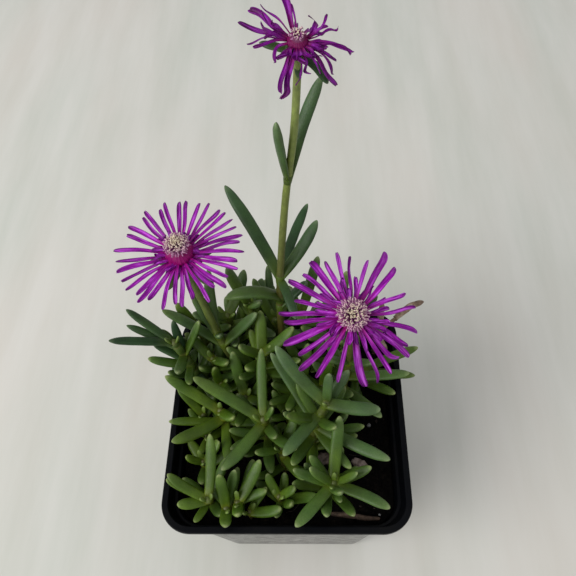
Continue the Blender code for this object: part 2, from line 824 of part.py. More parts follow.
def leaf_line(leaf, start, shares):
    """The leaf's middle line and its way up at each share of its length."""
    turn = math.radians(leaf.turn)
    place = start.copy()
    places = [place.copy()]
    for index in range(BEND_STEPS):
        share = (index + 0.5) / BEND_STEPS
        rise = math.radians(leaf.rise + leaf.curl * (share - 0.5))
        ahead = Vector((math.cos(turn) * math.cos(rise), math.sin(turn) * math.cos(rise), math.sin(rise)))
        place = place + ahead * (leaf.length * MM / BEND_STEPS)
        places.append(place.copy())
    found = []
    for share in shares:
        low = min(int(share * BEND_STEPS), BEND_STEPS - 1)
        spot = places[low].lerp(places[low + 1], share * BEND_STEPS - low)
        rise = math.radians(leaf.rise + leaf.curl * (share - 0.5))
        up = Vector((-math.cos(turn) * math.sin(rise), -math.sin(turn) * math.sin(rise), math.cos(rise)))
        found.append((spot, up))
    return found


def leaf_mesh(leaf, start):
    across = Vector((math.sin(math.radians(leaf.turn)), -math.cos(math.radians(leaf.turn)), 0))
    rings = []
    for (spot, up), share in zip(leaf_line(leaf, start, LEAF_STATIONS), LEAF_WIDTHS):
        width = leaf.width * MM * share
        rings.append([spot + across * (x * width) + up * (z * width) for x, z in LEAF_SECTION])
    tip = leaf_line(leaf, start, [1.0])[0][0]
    return loft("leaf", rings, tip)


class Standing:
    """What already stands, as chains of balls, so that a new leaf can be kept clear of it."""

    def __init__(self):
        self.centres = np.empty((0, 3))
        self.radii = np.empty(0)
        self.owners = np.empty(0, int)
        self.leafy = np.empty(0, bool)

    def add(self, owner, centres, radii, leafy=False):
        self.centres = np.vstack([self.centres, centres])
        self.radii = np.concatenate([self.radii, radii])
        self.owners = np.concatenate([self.owners, np.full(len(radii), owner)])
        self.leafy = np.concatenate([self.leafy, np.full(len(radii), leafy)])

    def room(self, owner, centres, radii):
        """The least gap to other shoots. The outer parts of a shoot's own leaves may just touch."""
        apart = np.linalg.norm(self.centres[None] - centres[:, None], axis=2)
        gaps = apart - self.radii[None] - radii[:, None]
        own = self.owners == owner
        least = gaps[1:, ~own].min(initial=1.0)
        free = round(SIBLING_FREE_SHARE * LEAF_SAMPLES)
        siblings = gaps[free:, own & self.leafy].min(initial=1.0)
        return min(least, siblings + LEAF_CLEARANCE)


def leaf_balls(leaf, start):
    shares = [(index + 0.5) / LEAF_SAMPLES for index in range(LEAF_SAMPLES)]
    centres = np.array([spot for spot, _ in leaf_line(leaf, start, shares)])
    widths = np.interp(shares, [*LEAF_STATIONS, 1.0], [*LEAF_WIDTHS, 0.0])
    return centres, leaf.width * MM / 2 * np.maximum(widths, THINNEST_BALL)


def in_pot(centres, radii):
    """Whether balls stay over the soil and off the wall wherever they dip below the rim."""
    low = centres[:, 2] - radii < POT_HEIGHT + LEAF_CLEARANCE
    if not low.any():
        return True
    centres, radii = centres[low], radii[low]
    half = inside_width(SOIL_LEVEL) / 2
    corner = RIM_CORNER - LIP_OVERHANG - WALL
    out = np.maximum(np.abs(centres[:, :2]) - (half - corner), 0)
    off_wall = np.hypot(out[:, 0], out[:, 1]) - corner + radii < -LEAF_CLEARANCE
    off_soil = centres[:, 2] - radii > SOIL_LEVEL + SOIL_BUMP / 2 + LEAF_CLEARANCE
    return bool((off_wall & off_soil).all())


def placed(leaf, start, owner, standing):
    """The leaf, turned, raised or shortened no more than it takes to stand clear; None without room."""
    changes = [
        (abs(turn) / 5 + abs(rise) / 5 + (1 - size) * 40, turn, rise, size)
        for turn in TURNS_TRIED
        for rise in RISES_TRIED
        for size in SIZES_TRIED
    ]
    for _, turn, rise, size in sorted(changes):
        raised = min(leaf.rise + rise, STEEPEST_RISE)
        tried = leaf._replace(turn=leaf.turn + turn, rise=raised, length=leaf.length * size)
        centres, radii = leaf_balls(tried, start)
        if not in_pot(centres[1:], radii[1:]):
            continue
        if standing.room(owner, centres, radii) >= LEAF_CLEARANCE:
            standing.add(owner, centres[1:], radii[1:], True)
            return tried
    return None


def flower_axes(facing):
    out = Vector(facing).normalized()
    right = (Vector((1, 0, 0)) - out * out.x).normalized()
    return right, out.cross(right), out


def flower_matrix(bloom):
    right, up, out = flower_axes(bloom.facing)
    turned = Matrix((right, up, out)).transposed().to_4x4()
    return Matrix.Translation(Vector(bloom.centre) * MM) @ turned


def petal_path(petal, shares):
    """Middle line of a petal in its flower's own frame, with the way up at each point."""
    turn = math.radians(petal.turn)
    out = Vector((math.cos(turn), math.sin(turn), 0))
    level = Vector((0, 0, 1))
    place = out * PETAL_START + level * (petal.layer * LAYER_STEP)
    length = petal.reach * MM - PETAL_START
    places = [place]
    for index in range(BEND_STEPS):
        rise = math.radians(petal.rise + petal.curl * (index + 0.5) / BEND_STEPS)
        place = place + (out * math.cos(rise) + level * math.sin(rise)) * (length / BEND_STEPS)
        places.append(place)
    found = []
    for share in shares:
        low = min(int(share * BEND_STEPS), BEND_STEPS - 1)
        rise = math.radians(petal.rise + petal.curl * share)
        spot = places[low].lerp(places[low + 1], share * BEND_STEPS - low)
        found.append((spot, level * math.cos(rise) - out * math.sin(rise)))
    return found


def petal_mesh(petal):
    """A thin blade with a flat upper face and a low keel below."""
    turn = math.radians(petal.turn)
    across = Vector((-math.sin(turn), math.cos(turn), 0))
    half = PETAL_THICKNESS / 2
    rings = []
    for (spot, up), share in zip(petal_path(petal, PETAL_STATIONS), PETAL_WIDTHS):
        side = across * (petal.width * MM * share / 2)
        rings.append([spot - side + up * half, spot + side + up * half, spot - up * half])
    return loft("petal", rings)


def petals_top(bloom):
    return max(petal.layer for petal in bloom.petals) * LAYER_STEP + PETAL_THICKNESS / 2


def make_petals(name, bloom, finish):
    """All of a flower's petals, rooted in the ring that they grow from."""
    radius = PETAL_START + DISC_MARGIN
    foot = -PETAL_THICKNESS / 2
    top = petals_top(bloom)
    rings = [
        circle(radius - DISC_ROUND, foot, DISC_FACETS),
        circle(radius, foot + DISC_ROUND, DISC_FACETS),
        circle(radius, top - DISC_ROUND, DISC_FACETS),
        circle(radius - DISC_ROUND, top, DISC_FACETS),
    ]
    pieces = [loft("disc", rings)] + [petal_mesh(petal) for petal in bloom.petals]
    whole = joined(name, pieces, finish)
    whole.matrix_world = flower_matrix(bloom)


def stamen_mesh(foot, out, length):
    """A three-sided thread with a swollen head."""
    side = out.orthogonal().normalized()
    other = out.cross(side)
    rings = []
    for share, radius in ((0, STAMEN_FOOT), (STAMEN_HEAD_AT, STAMEN_HEAD)):
        centre = foot + out * (length * share)
        turns = [2 * math.pi * at / 3 for at in range(3)]
        rings.append([centre + (side * math.cos(a) + other * math.sin(a)) * radius for a in turns])
    return loft("stamen", rings, foot + out * length)


def make_stamens(name, bloom):
    """A bunch of stamens spread evenly over a small dome by the golden angle."""
    reach = bloom.stamen_reach * MM
    core = reach * CORE_SHARE
    floor = petals_top(bloom) + TOUCH_GAP
    rings = [circle(core * wide, floor + core * high, CORE_FACETS) for wide, high in CORE_PROFILE]
    pieces = [loft("core", rings, Vector((0, 0, floor + core * CORE_TOP)))]
    draw = random.Random(7)
    golden = math.pi * (3 - math.sqrt(5))
    middle = Vector((0, 0, floor + core * CORE_MIDDLE))
    for index in range(bloom.stamens):
        lean = math.radians(STAMEN_LEAN) * math.sqrt((index + 0.5) / bloom.stamens)
        turn = golden * index + draw.uniform(-0.15, 0.15)
        out = Vector((math.sin(lean) * math.cos(turn), math.sin(lean) * math.sin(turn), math.cos(lean)))
        length = reach * draw.uniform(0.88, 1.08)
        pieces.append(stamen_mesh(middle + out * core * 0.5, out, length - core * 0.5))
    whole = joined(name, pieces, "stamen")
    whole.matrix_world = flower_matrix(bloom)


def calyx_top():
    """Height of the green cup's upper face in its flower's own frame."""
    return -PETAL_THICKNESS / 2 - TOUCH_GAP


def sepal_leaf(sepal):
    start = Vector((0, 0, calyx_top() - SEPAL_DEPTH))
    return Leaf(0, sepal.turn, sepal.rise, sepal.length, sepal.width, sepal.curl), start


def calyx_meshes(bloom, stem_top, stem_size):
    """The green cup under a flower and its fleshy sepals, in world space."""
    place = flower_matrix(bloom)
    top = calyx_top()
    rings = [
        circle(CUP_RADIUS * CUP_MOUTH, top, CUP_FACETS),
        circle(CUP_RADIUS, top - CUP_BELLY_AT * CUP_DEPTH, CUP_FACETS),
        circle(stem_size * CUP_NECK, top - CUP_DEPTH, CUP_FACETS),
    ]
    rings = [[place @ point for point in ring] for ring in rings]
    meshes = [loft("cup", rings, stem_top)]
    for sepal in bloom.sepals:
        mesh = leaf_mesh(*sepal_leaf(sepal))
        mesh.transform(place)
        meshes.append(mesh)
    return meshes


def flower_balls(bloom):
    """The space that a flower's petals and sepals take, for the leaves to keep clear of."""
    place = flower_matrix(bloom)
    centres, radii = [], []
    for petal in bloom.petals:
        for spot, _ in petal_path(petal, [0.1 * step for step in range(1, 11)]):
            centres.append(place @ spot)
            radii.append(petal.width * MM / 2 + PETAL_THICKNESS / 2)
    for sepal in bloom.sepals:
        spots, sizes = leaf_balls(*sepal_leaf(sepal))
        centres += [place @ Vector(spot) for spot in spots]
        radii += list(sizes)
    return np.array(centres), np.array(radii)


def every_shoot():
    """All shoots in the order in which their leaves find room."""
    return {**FLOWER_STEMS, **SHOOTS, WITHERED_NAME: WITHERED_SHOOT}


def along_chip(chip, x, y, z):
    """A point of a chip's own frame, in shares of its size, brought to its place on the soil."""
    turn = math.radians(chip.turn)
    right, ahead = x * chip.length, y * chip.width
    spot = Vector(
        (
            chip.x + right * math.cos(turn) - ahead * math.sin(turn),
            chip.y + right * math.sin(turn) + ahead * math.cos(turn),
            z * chip.thickness,
        )
    )
    return spot * MM


def chip_floor(chip):
    """The lowest height that keeps a chip clear of the bumpy soil."""
    spots = [along_chip(chip, x, y, 0) for x in (-0.5, 0, 0.5) for y in (-0.5, 0, 0.5)]
    return max(soil_height(spot.x, spot.y) for spot in spots) + CHIP_LIFT


def chip_mesh(chip):
    lift = Vector((0, 0, chip_floor(chip)))
    rings = []
    for share, z in CHIP_PROFILE:
        rings.append([along_chip(chip, x * share, y * share, z) + lift for x, y in CHIP_OUTLINE])
    return loft("chip", rings)


def twig_mesh(chip):
    lift = Vector((0, 0, chip_floor(chip)))
    rings = []
    for x, radius, shift in TWIG_STATIONS:
        turns = [2 * math.pi * at / TWIG_FACETS for at in range(TWIG_FACETS)]
        rings.append(
            [
                along_chip(chip, x, shift * 0.5 + radius * math.cos(a), 0.5 + radius * math.sin(a)) + lift
                for a in turns
            ]
        )
    return loft("twig", rings)


def chip_balls(chip):
    """The space over a chip or twig, for the leaves to keep clear of."""
    middle = Vector((0, 0, chip_floor(chip) + chip.thickness * MM / 2))
    spots = [along_chip(chip, x, y, 0) + middle for x in (-0.4, -0.2, 0, 0.2, 0.4) for y in (-0.25, 0.25)]
    return np.array(spots), np.full(len(spots), chip.thickness * MM / 2 + CHIP_LIFT)


def make_shoots():
    """Every stem with its leaves. Stems come first, so that no leaf crosses one."""
    everyone = every_shoot()
    standing = Standing()
    lines = {}
    for owner, (name, shoot) in enumerate(everyone.items()):
        fine = stem_points(shoot, 1.5 * MM)
        top = fine[-1].z
        lines[name] = fine
        above = [point for point in fine if point.z > SOIL_LEVEL]
        radii = np.array([stem_radius(shoot, point.z, top) for point in above])
        standing.add(owner, np.array(above), radii)
    for bloom in BLOOMS.values():
        standing.add(len(everyone), *flower_balls(bloom))
    for chip in [*CHIPS.values(), TWIG]:
        standing.add(len(everyone), *chip_balls(chip))
    for owner, (name, shoot) in enumerate(everyone.items()):
        pieces = [stem_mesh(shoot)]
        if name in FLOWER_STEMS:
            bloom = BLOOMS[name.split("_")[0]]
            top = lines[name][-1]
            pieces += calyx_meshes(bloom, top, stem_radius(shoot, top.z, top.z))
        for leaf in shoot.leaves:
            start = point_at_height(lines[name], leaf.height * MM)
            fitted = placed(leaf, start, owner, standing)
            if fitted:
                pieces.append(leaf_mesh(fitted, start))
        joined(name, pieces, "withered" if name == WITHERED_NAME else "leaf")


def main():
    clear_scene()
    make_pot()
    feet = []
    for shoot in every_shoot().values():
        x, y = shoot.path[0]
        feet.append(((x * MM, y * MM), shoot.thickness * MM / 2))
    make_soil(feet)
    make_shoots()
    for name, bloom in BLOOMS.items():
        make_petals(f"{name}_petals", bloom, "withered_petal" if name == "tall" else "petal")
        make_stamens(f"{name}_stamens", bloom)
    for name, chip in CHIPS.items():
        object_of(name, chip_mesh(chip), "bark")
    object_of("twig", twig_mesh(TWIG), "bark")


main()
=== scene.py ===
"""What shows of the potted ice plant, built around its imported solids: finely shaped stems, leaves,
petals and stamens, crumbly soil, and the camera, light and floor of the photograph.

Units are metres and +Z is up. The origin is the centre of the pot's underside, on the table. The
layout of stems, leaves and flowers repeats that of the solids. Turns are in degrees about +Z,
counted from +X; rises are in degrees above the level.
"""

import math
import random
from collections import namedtuple
from itertools import combinations, product

import bpy
import numpy as np
from mathutils import Matrix, Vector, noise

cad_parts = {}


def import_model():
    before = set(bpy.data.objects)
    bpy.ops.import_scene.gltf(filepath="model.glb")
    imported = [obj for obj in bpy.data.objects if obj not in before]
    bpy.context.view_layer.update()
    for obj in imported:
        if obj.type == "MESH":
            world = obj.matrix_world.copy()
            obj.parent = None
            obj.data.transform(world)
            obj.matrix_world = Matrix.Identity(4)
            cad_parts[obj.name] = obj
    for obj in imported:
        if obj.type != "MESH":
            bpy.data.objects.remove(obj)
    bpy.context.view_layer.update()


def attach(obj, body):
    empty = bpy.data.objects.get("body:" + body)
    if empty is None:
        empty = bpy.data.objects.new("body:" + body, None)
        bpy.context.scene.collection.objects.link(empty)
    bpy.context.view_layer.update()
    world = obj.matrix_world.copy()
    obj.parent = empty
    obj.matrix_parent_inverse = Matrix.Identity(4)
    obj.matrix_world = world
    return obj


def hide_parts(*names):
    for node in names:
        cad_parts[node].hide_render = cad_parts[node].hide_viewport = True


MM = 0.001
TOUCH_GAP = 0.3 * MM

# Pot
POT_HEIGHT = 78 * MM
RIM_WIDTH = 90 * MM
RIM_CORNER = 11 * MM
BASE_WIDTH = 66 * MM
BASE_CORNER = 8 * MM
WALL = 1.2 * MM
LIP_OVERHANG = 1.2 * MM
COLLAR_DEPTH = 8 * MM
COLLAR_STEP = 1.2 * MM

# Soil
SOIL_LEVEL = 67 * MM
SOIL_BUMP = 1.3 * MM
SOIL_BUMP_SIZE = 9 * MM
FOOT_DEPTH = 8 * MM

# Leaves and stems
STEM_TAPER = 0.2
BEND_STEPS = 24
LEAF_STATIONS = (0.0, 0.25, 0.68, 0.93)
LEAF_WIDTHS = (0.60, 0.82, 0.86, 0.44)
LEAF_SAMPLES = 12
LEAF_CLEARANCE = 0.5 * MM
SIBLING_FREE_SHARE = 0.45
THINNEST_BALL = 0.3
TURNS_TRIED = range(-45, 46, 5)
RISES_TRIED = range(-20, 41, 5)
SIZES_TRIED = (1.0, 0.9, 0.8, 0.7)
STEEPEST_RISE = 85

# Flowers
PETAL_THICKNESS = 0.8 * MM
PETAL_START = 3.0 * MM
LAYER_STEP = 0.75 * MM
CUP_RADIUS = 3.4 * MM
CUP_DEPTH = 4.2 * MM
SEPAL_DEPTH = 2.4 * MM
CHIP_LIFT = 0.5 * MM

# A leaf stands at a height on its stem, and curls upwards by so many degrees over its length.
Leaf = namedtuple("Leaf", "height turn rise length width curl", defaults=(12,))
Shoot = namedtuple("Shoot", "path thickness leaves")
Petal = namedtuple("Petal", "turn reach width rise curl layer")


def each(kind, rows):
    """A list of one kind of named tuple, from its rows of values."""
    return [kind(*row) for row in rows]


def leafy_stem(path, thickness, leaves):
    return Shoot(path, thickness, each(Leaf, leaves))


# Each stem runs from its foot in the soil, given by X and Y, through points given in millimetres. Its
# thickness and its leaves follow.
SHOOTS = {
    "far_left_shoot": leafy_stem(
        [(-32, 12), (-35, 14, 80), (-39, 17, 92), (-42, 19, 100)], 3.4,
        [(100, -171, 20, 24, 4.2, 4), (100, 152, 25, 22, 4.0), (97, 163, 20, 21.5, 3.6),
         (90, 165, 30, 15, 4.2), (88, 115, 62, 21, 4.0), (84, 144, 37, 16, 4.8),
         (82, -60, 46, 13, 4.6), (80, 172, 28, 12, 4.4)],
    ),
    "mid_left_shoot": leafy_stem(
        [(-23, -3), (-24, -3, 76), (-25, -2, 84)], 3.4,
        [(84, 155, 26, 25, 5.0), (84, -45, 45, 13, 5.0), (79, -148, 14, 22, 5.6, 6), (79, 40, 35, 12, 4.2),
         (76, -158, 2, 22, 4.2, 4)],
    ),
    "centre_shoot": leafy_stem(
        [(-7, -10), (-7, -9, 78), (-8, -8, 90)], 3.4,
        [(90, 155, 22, 30, 5.6), (90, 91, 30, 26, 4.4), (88, -130, 0, 23, 5.4, -6), (86, -60, 40, 12, 4.4),
         (90, 20, 62, 9, 3.2)],
    ),
    "right_centre_shoot": leafy_stem(
        [(9, -12), (10, -11, 80), (12, -9, 92), (15, -6, 100)], 3.4,
        [(100, 135, 24, 27, 5.4), (100, -9, 4, 19, 5.8, 6), (100, 78, 62, 13, 4.2),
         (95, -128, 10, 21, 5.2, 2), (95, 50, 42, 19, 4.6), (89, 131, 24, 31, 5.0), (89, -28, 4, 29, 5.2, 4)],
    ),
    "inner_shoot": leafy_stem(
        [(-1, -19), (-1, -18, 74), (-2, -15, 80)], 3.0,
        [(80, 58, 38, 13, 4.6), (80, -155, 35, 12, 4.2), (76, -50, 20, 14, 4.2), (76, 120, 30, 12, 4.0)],
    ),
    "front_left_shoot": leafy_stem(
        [(-28, -32), (-28, -33, 76), (-27, -35, 84)], 3.2,
        [(84, 88, 32, 23, 4.5), (84, 153, 24, 17, 4.2), (82, -168, 12, 11, 4.6), (78, -115, 0, 10, 3.2)],
    ),
    "front_left_side_shoot": leafy_stem(
        [(-21, -34), (-21, -35, 76), (-21, -37, 80)], 3.0,
        [(80, 100, 56, 15, 4.6), (80, -84, 32, 8.5, 4.8), (78, 65, 50, 15, 4.2), (77, 165, 40, 9, 3.6)],
    ),
    "front_shoot": leafy_stem(
        [(-17, -32), (-17, -33, 75), (-17, -35, 80)], 3.0,
        [(80, 62, 31, 17.5, 4.8), (80, -80, 48, 9, 4.6), (78, 18, 46, 12, 4.0)],
    ),
    "front_low_shoot": leafy_stem(
        [(-13, -36.5), (-13, -36.5, 71), (-13.5, -36.5, 73)], 2.6,
        [(73, -2, 30, 14, 4.6), (73, 30, 52, 12, 3.6)],
    ),
    "front_middle_shoot": leafy_stem(
        [(-2, -32), (-2, -32, 73), (-2.5, -32, 77)], 2.6,
        [(77, 12, 46, 9, 4.2), (77, 128, 42, 10, 3.8), (73, 80, 34, 10, 3.8), (73, -130, 30, 9, 3.6)],
    ),
    "left_edge_shoot": leafy_stem(
        [(-33, -1), (-33, -1, 72), (-33, -0.5, 76)], 2.8,
        [(76, 143, 48, 16, 4.2), (74, 60, 40, 12, 3.8)],
    ),
    "left_wall_shoot": leafy_stem(
        [(-31, -8), (-31, -8, 71), (-31.5, -8, 74)], 2.4,
        [(74, 132, 30, 13, 3.6), (72, -100, 26, 9, 3.6)],
    ),
    "left_low_shoot": leafy_stem(
        [(-31, -19), (-31, -19, 73), (-31.5, -19, 76)], 2.6,
        [(76, 178, 46, 8, 3.6), (76, 40, 38, 11, 4.0), (74, 100, 34, 10, 3.8)],
    ),
    "left_gap_shoot": leafy_stem(
        [(-28, 17), (-28, 17, 78), (-29, 18, 88)], 2.8,
        [(88, 155, 38, 15, 4.8), (88, -40, 42, 13, 4.8), (82, 80, 36, 13, 4.6), (82, -125, 34, 14, 4.8)],
    ),
    "front_right_shoot": leafy_stem(
        [(15, -27), (15, -28, 76), (17, -30, 86)], 3.4,
        [(86, 82, 36, 24, 5.0), (86, -131, 6, 20, 5.2, 2), (86, -26, 6, 21, 5.0, 4), (86, 163, 50, 13, 4.4),
         (84, 2, 48, 13, 3.4), (82, 165, 24, 15, 4.2), (82, -56, 38, 9, 3.4)],
    ),
    "back_centre_shoot": leafy_stem(
        [(-10, 13), (-10, 14, 82), (-9, 16, 96)], 3.2,
        [(96, -168, 50, 12, 5.2), (96, 20, 42, 18, 5.0), (91, 95, 42, 20, 5.2), (91, -80, 46, 13, 5.0),
         (84, 150, 30, 17, 5.0), (84, -25, 30, 14, 4.8)],
    ),
    "left_inner_shoot": leafy_stem(
        [(-24, 9), (-24, 9, 76), (-26, 10, 83)], 3.0,
        [(83, -55, 42, 13, 5.0), (83, 125, 60, 12, 4.4), (78, 30, 34, 13, 4.8)],
    ),
    "back_left_shoot": leafy_stem(
        [(-22, 32), (-22, 32, 80), (-23, 33, 96)], 3.2,
        [(96, 60, 44, 20, 5.2), (96, -160, 40, 15, 5.0), (90, 150, 32, 20, 5.2), (90, -30, 35, 16, 5.0),
         (83, 100, 25, 16, 4.8), (83, -85, 30, 14, 4.8)],
    ),
    "back_gap_shoot": leafy_stem(
        [(-13, 34), (-13, 34, 82), (-14, 35, 101)], 3.0,
        [(101, 145, 30, 20, 5.4), (101, -45, 44, 13, 4.8), (94, 70, 36, 15, 5.0), (87, -15, 26, 14, 4.8)],
    ),
    "back_shoot": leafy_stem(
        [(-4, 33), (-4, 33, 82), (-5, 33, 92)], 3.2,
        [(92, 131, 40, 21, 4.4), (92, 107, 36, 22, 3.8), (87, 60, 40, 17, 4.6), (80, -10, 26, 16, 4.4)],
    ),
    "behind_stem_shoot": leafy_stem(
        [(6, 35), (6, 35, 80), (6, 36, 93)], 3.0,
        [(93, 57, 60, 26, 4.8), (93, -85, 44, 14, 4.8), (86, -20, 30, 15, 4.8)],
    ),
    "back_right_shoot": leafy_stem(
        [(18, 27), (18, 27, 80), (21, 29, 92)], 3.2,
        [(92, 75, 68, 27, 4.4), (91, -95, 38, 16, 4.8), (85, 170, 34, 16, 4.6), (85, 5, 36, 18, 4.8),
         (79, 45, 24, 16, 4.4)],
    ),
    "middle_shoot": leafy_stem(
        [(5, 5), (5, 5, 78), (5, 6, 86)], 3.0,
        [(86, 75, 40, 18, 4.8), (86, -110, 40, 13, 4.6), (81, 0, 34, 16, 4.6), (81, 170, 34, 13, 4.4)],
    ),
    "left_middle_shoot": leafy_stem(
        [(-15, 3), (-15, 3, 76), (-16, 4, 83)], 3.0,
        [(83, 138, 34, 19, 5.2), (83, -30, 28, 14, 4.6), (79, 45, 34, 15, 4.4), (79, -105, 28, 13, 4.4)],
    ),
    "left_rear_shoot": leafy_stem(
        [(-32, 26), (-32, 26, 78), (-34, 28, 91)], 3.0,
        [(91, 140, 44, 16, 5.0), (91, -40, 32, 13, 4.8), (85, 60, 30, 15, 5.0), (85, -130, 36, 15, 4.8)],
    ),
    "right_gap_shoot": leafy_stem(
        [(14, 5), (14, 5, 78), (14, 6, 88)], 2.8,
        [(88, 70, 44, 15, 4.8), (88, -100, 46, 12, 4.6), (83, 160, 32, 13, 4.6), (83, -20, 32, 14, 4.6)],
    ),
    "centre_back_shoot": leafy_stem(
        [(7, 17), (7, 17, 78), (7, 17, 84)], 2.8,
        [(84, 140, 46, 13, 4.4), (84, -5, 34, 13, 4.4), (80, 45, 36, 14, 4.4), (80, -140, 36, 12, 4.2)],
    ),
    "centre_low_shoot": leafy_stem(
        [(1, -3), (1, -3, 75), (1, -2, 80)], 2.8,
        [(80, 40, 40, 14, 4.4), (80, -145, 36, 12, 4.2), (77, 125, 30, 13, 4.2), (77, -50, 30, 12, 4.2)],
    ),
    "right_shoot": leafy_stem(
        [(27, 15), (27, 15, 77), (29, 15, 83)], 3.0,
        [(83, 14, 19, 24, 4.8), (83, -9, 4, 21, 4.6, 14), (83, -150, 40, 14, 4.4), (79, 110, 30, 15, 4.4)],
    ),
}

WITHERED_SHOOT = leafy_stem(
    [(36, 31), (36, 32, 76), (40, 35, 82), (44, 37, 85)], 2.0,
    [(85, 22, 25, 15, 3.6, -90), (80, 84, 50, 13, 2.6, 10), (78, -60, 12, 9, 2.8, -20)],
)

FLOWER_STEMS = {
    "tall_flower_stem": leafy_stem(
        [(-2, 23), (-2, 28, 92), (-1, 34, 118), (2.4, 43, 150), (6.4, 49, 176), (8.4, 54, 197.5)], 2.9,
        [(120, 124, 24, 40, 5.6, 6), (120, 49, 32, 24.5, 5.4), (119, 70, 14, 32, 4.4, 6),
         (119, -70, -8, 17, 4.0, -30), (110, -174, 11, 23, 6.4, -100), (106, 20, 42, 15, 5.0),
         (160, -165, 84, 23, 5.2, 0), (160, 57, 49, 32.5, 4.8, 6)],
    ),
    "left_flower_stem": leafy_stem(
        [(-19, 19), (-21, 20, 80), (-25, 23, 93), (-30, 29, 112), (-34, 34, 128.5)], 3.2,
        [(92, 161, 28, 27, 5.2), (92, 18, 44, 21, 5.6), (97, 132, 56, 21, 4.4), (98, 96, 48, 25, 4.6),
         (97, -70, 55, 10, 3.8)],
    ),
    "right_flower_stem": leafy_stem(
        [(21, 5), (21, 6, 80), (24, 12, 100), (24.2, 15.4, 122.5)], 3.0,
        [(84, -46, 13, 20, 4.6, 2), (84, 150, 34, 16, 4.6), (90, -4, 14, 24, 4.8, 4), (90, 120, 40, 18, 4.8),
         (98, -30, 40, 12, 4.2), (98, -160, 44, 12, 4.2)],
    ),
}

WITHERED_NAME = "withered_shoot"

# Where each flower's petals are set on, the way it faces, and how far its stamens reach.
Bloom = namedtuple("Bloom", "centre facing petals stamen_reach sepals")
Sepal = namedtuple("Sepal", "turn rise length width curl")

LEFT_TURNS = (
    -171, -158, -147, -138, -129, -120, -110, -101, -91, -80, -70, -61, -52, -43, -33, -22, -11, -2,
    8, 17, 26, 36, 45, 54, 64, 74, 86, 97, 107, 118, 129, 138, 148, 160, 174,
)
LEFT_PETALS = [
    Petal(turn, 22 + 1.2 * math.sin(3 * index), 1.8, 13 - 4 * (index % 3), -8, index % 3)
    for index, turn in enumerate(LEFT_TURNS)
]
RIGHT_PETALS = each(Petal, (
    (-172, 23, 2.0, 4, 8, 0), (-158, 24.5, 3.4, 2, 6, 1), (-143, 22, 1.8, 0, -6, 2),
    (-132, 25, 2.3, 6, -10, 0), (-121, 23.5, 2.8, 3, -8, 1), (-103, 22.5, 1.8, 2, -12, 2),
    (-86, 23.5, 3.2, 6, -12, 0), (-69, 23.5, 1.4, 4, -6, 1), (-56, 22.5, 2.2, 2, -12, 2),
    (-46, 20.5, 2.0, 5, -8, 0), (-36, 22.5, 2.2, 3, 4, 1), (-25, 20.5, 1.8, 1, -10, 2),
    (-15, 22, 2.0, 6, -12, 0), (2, 21, 1.5, 8, 6, 1), (22, 19, 1.6, 4, 6, 2), (42, 21.5, 2.6, 8, -6, 0),
    (58, 24, 3.0, 4, 4, 1), (76, 19, 1.8, 2, 6, 2), (93, 20, 1.8, 8, 10, 0), (102, 21.5, 1.8, 4, 8, 1),
    (115, 20, 1.8, 2, 4, 2), (127, 23, 2.8, 6, -4, 0), (139, 21.5, 2.2, 4, -8, 1),
    (150, 24, 2.2, 2, -4, 2), (163, 20, 1.8, 6, -6, 0), (176, 24.5, 2.2, 4, -8, 1),
))
TOP_PETALS = each(Petal, (
    (158, 17, 1.8, 8, -4, 0), (149, 16, 2.2, 16, -12, 1), (142, 14, 1.2, -6, 12, 0),
    (110, 17, 2.8, 34, -10, 1), (30, 8, 2.0, 20, 20, 1), (14, 9.5, 1.4, 36, 30, 2),
    (-4, 15.5, 1.4, 18, -44, 1), (-18, 13, 1.4, 6, -74, 0), (-37, 17.5, 2.2, -16, -78, 1),
    (-64, 9, 1.2, -40, -20, 0), (-106, 16, 2.4, -26, -60, 1), (-117, 13.5, 1.8, -34, -40, 0),
    (-125, 14.6, 1.6, -38, -30, 1), (176, 9, 1.4, 34, -50, 2), (62, 12, 1.8, 0, -80, 0),
    (92, 11, 1.6, 4, -80, 1),
))

LEFT_SEPALS = each(Sepal, (
    (28, -10, 12, 3.2, 14), (100, -10, 12, 3.2, 14), (172, -10, 13, 3.2, 14), (-118, -14, 12, 3.2, 14),
    (-44, -14, 13, 3.4, 14),
))
RIGHT_SEPALS = each(Sepal, (
    (40, -12, 12, 3.4, 14), (112, -12, 11, 3.4, 14), (184, -12, 12, 3.4, 14), (-104, -16, 11, 3.4, 14),
    (-32, -12, 13, 3.4, 14),
))
TOP_SEPALS = each(Sepal, (
    (-31, -34, 12.5, 3.4, -40), (26, -10, 9, 2.8, -10), (96, -8, 7.5, 2.8, -10), (165, 2, 11, 3.0, 10),
    (-84, -44, 7, 2.6, -20),
))

BLOOMS = {
    "tall": Bloom((8.4, 54.6, 201.5), (0.05, -0.25, 1.0), TOP_PETALS, 2.8, TOP_SEPALS),
    "left": Bloom((-34.6, 34.7, 134.0), (-0.03, -0.05, 1.0), LEFT_PETALS, 5.8, LEFT_SEPALS),
    "right": Bloom((24.0, 12.8, 128.0), (0.0, -0.42, 0.9), RIGHT_PETALS, 7.0, RIGHT_SEPALS),
}

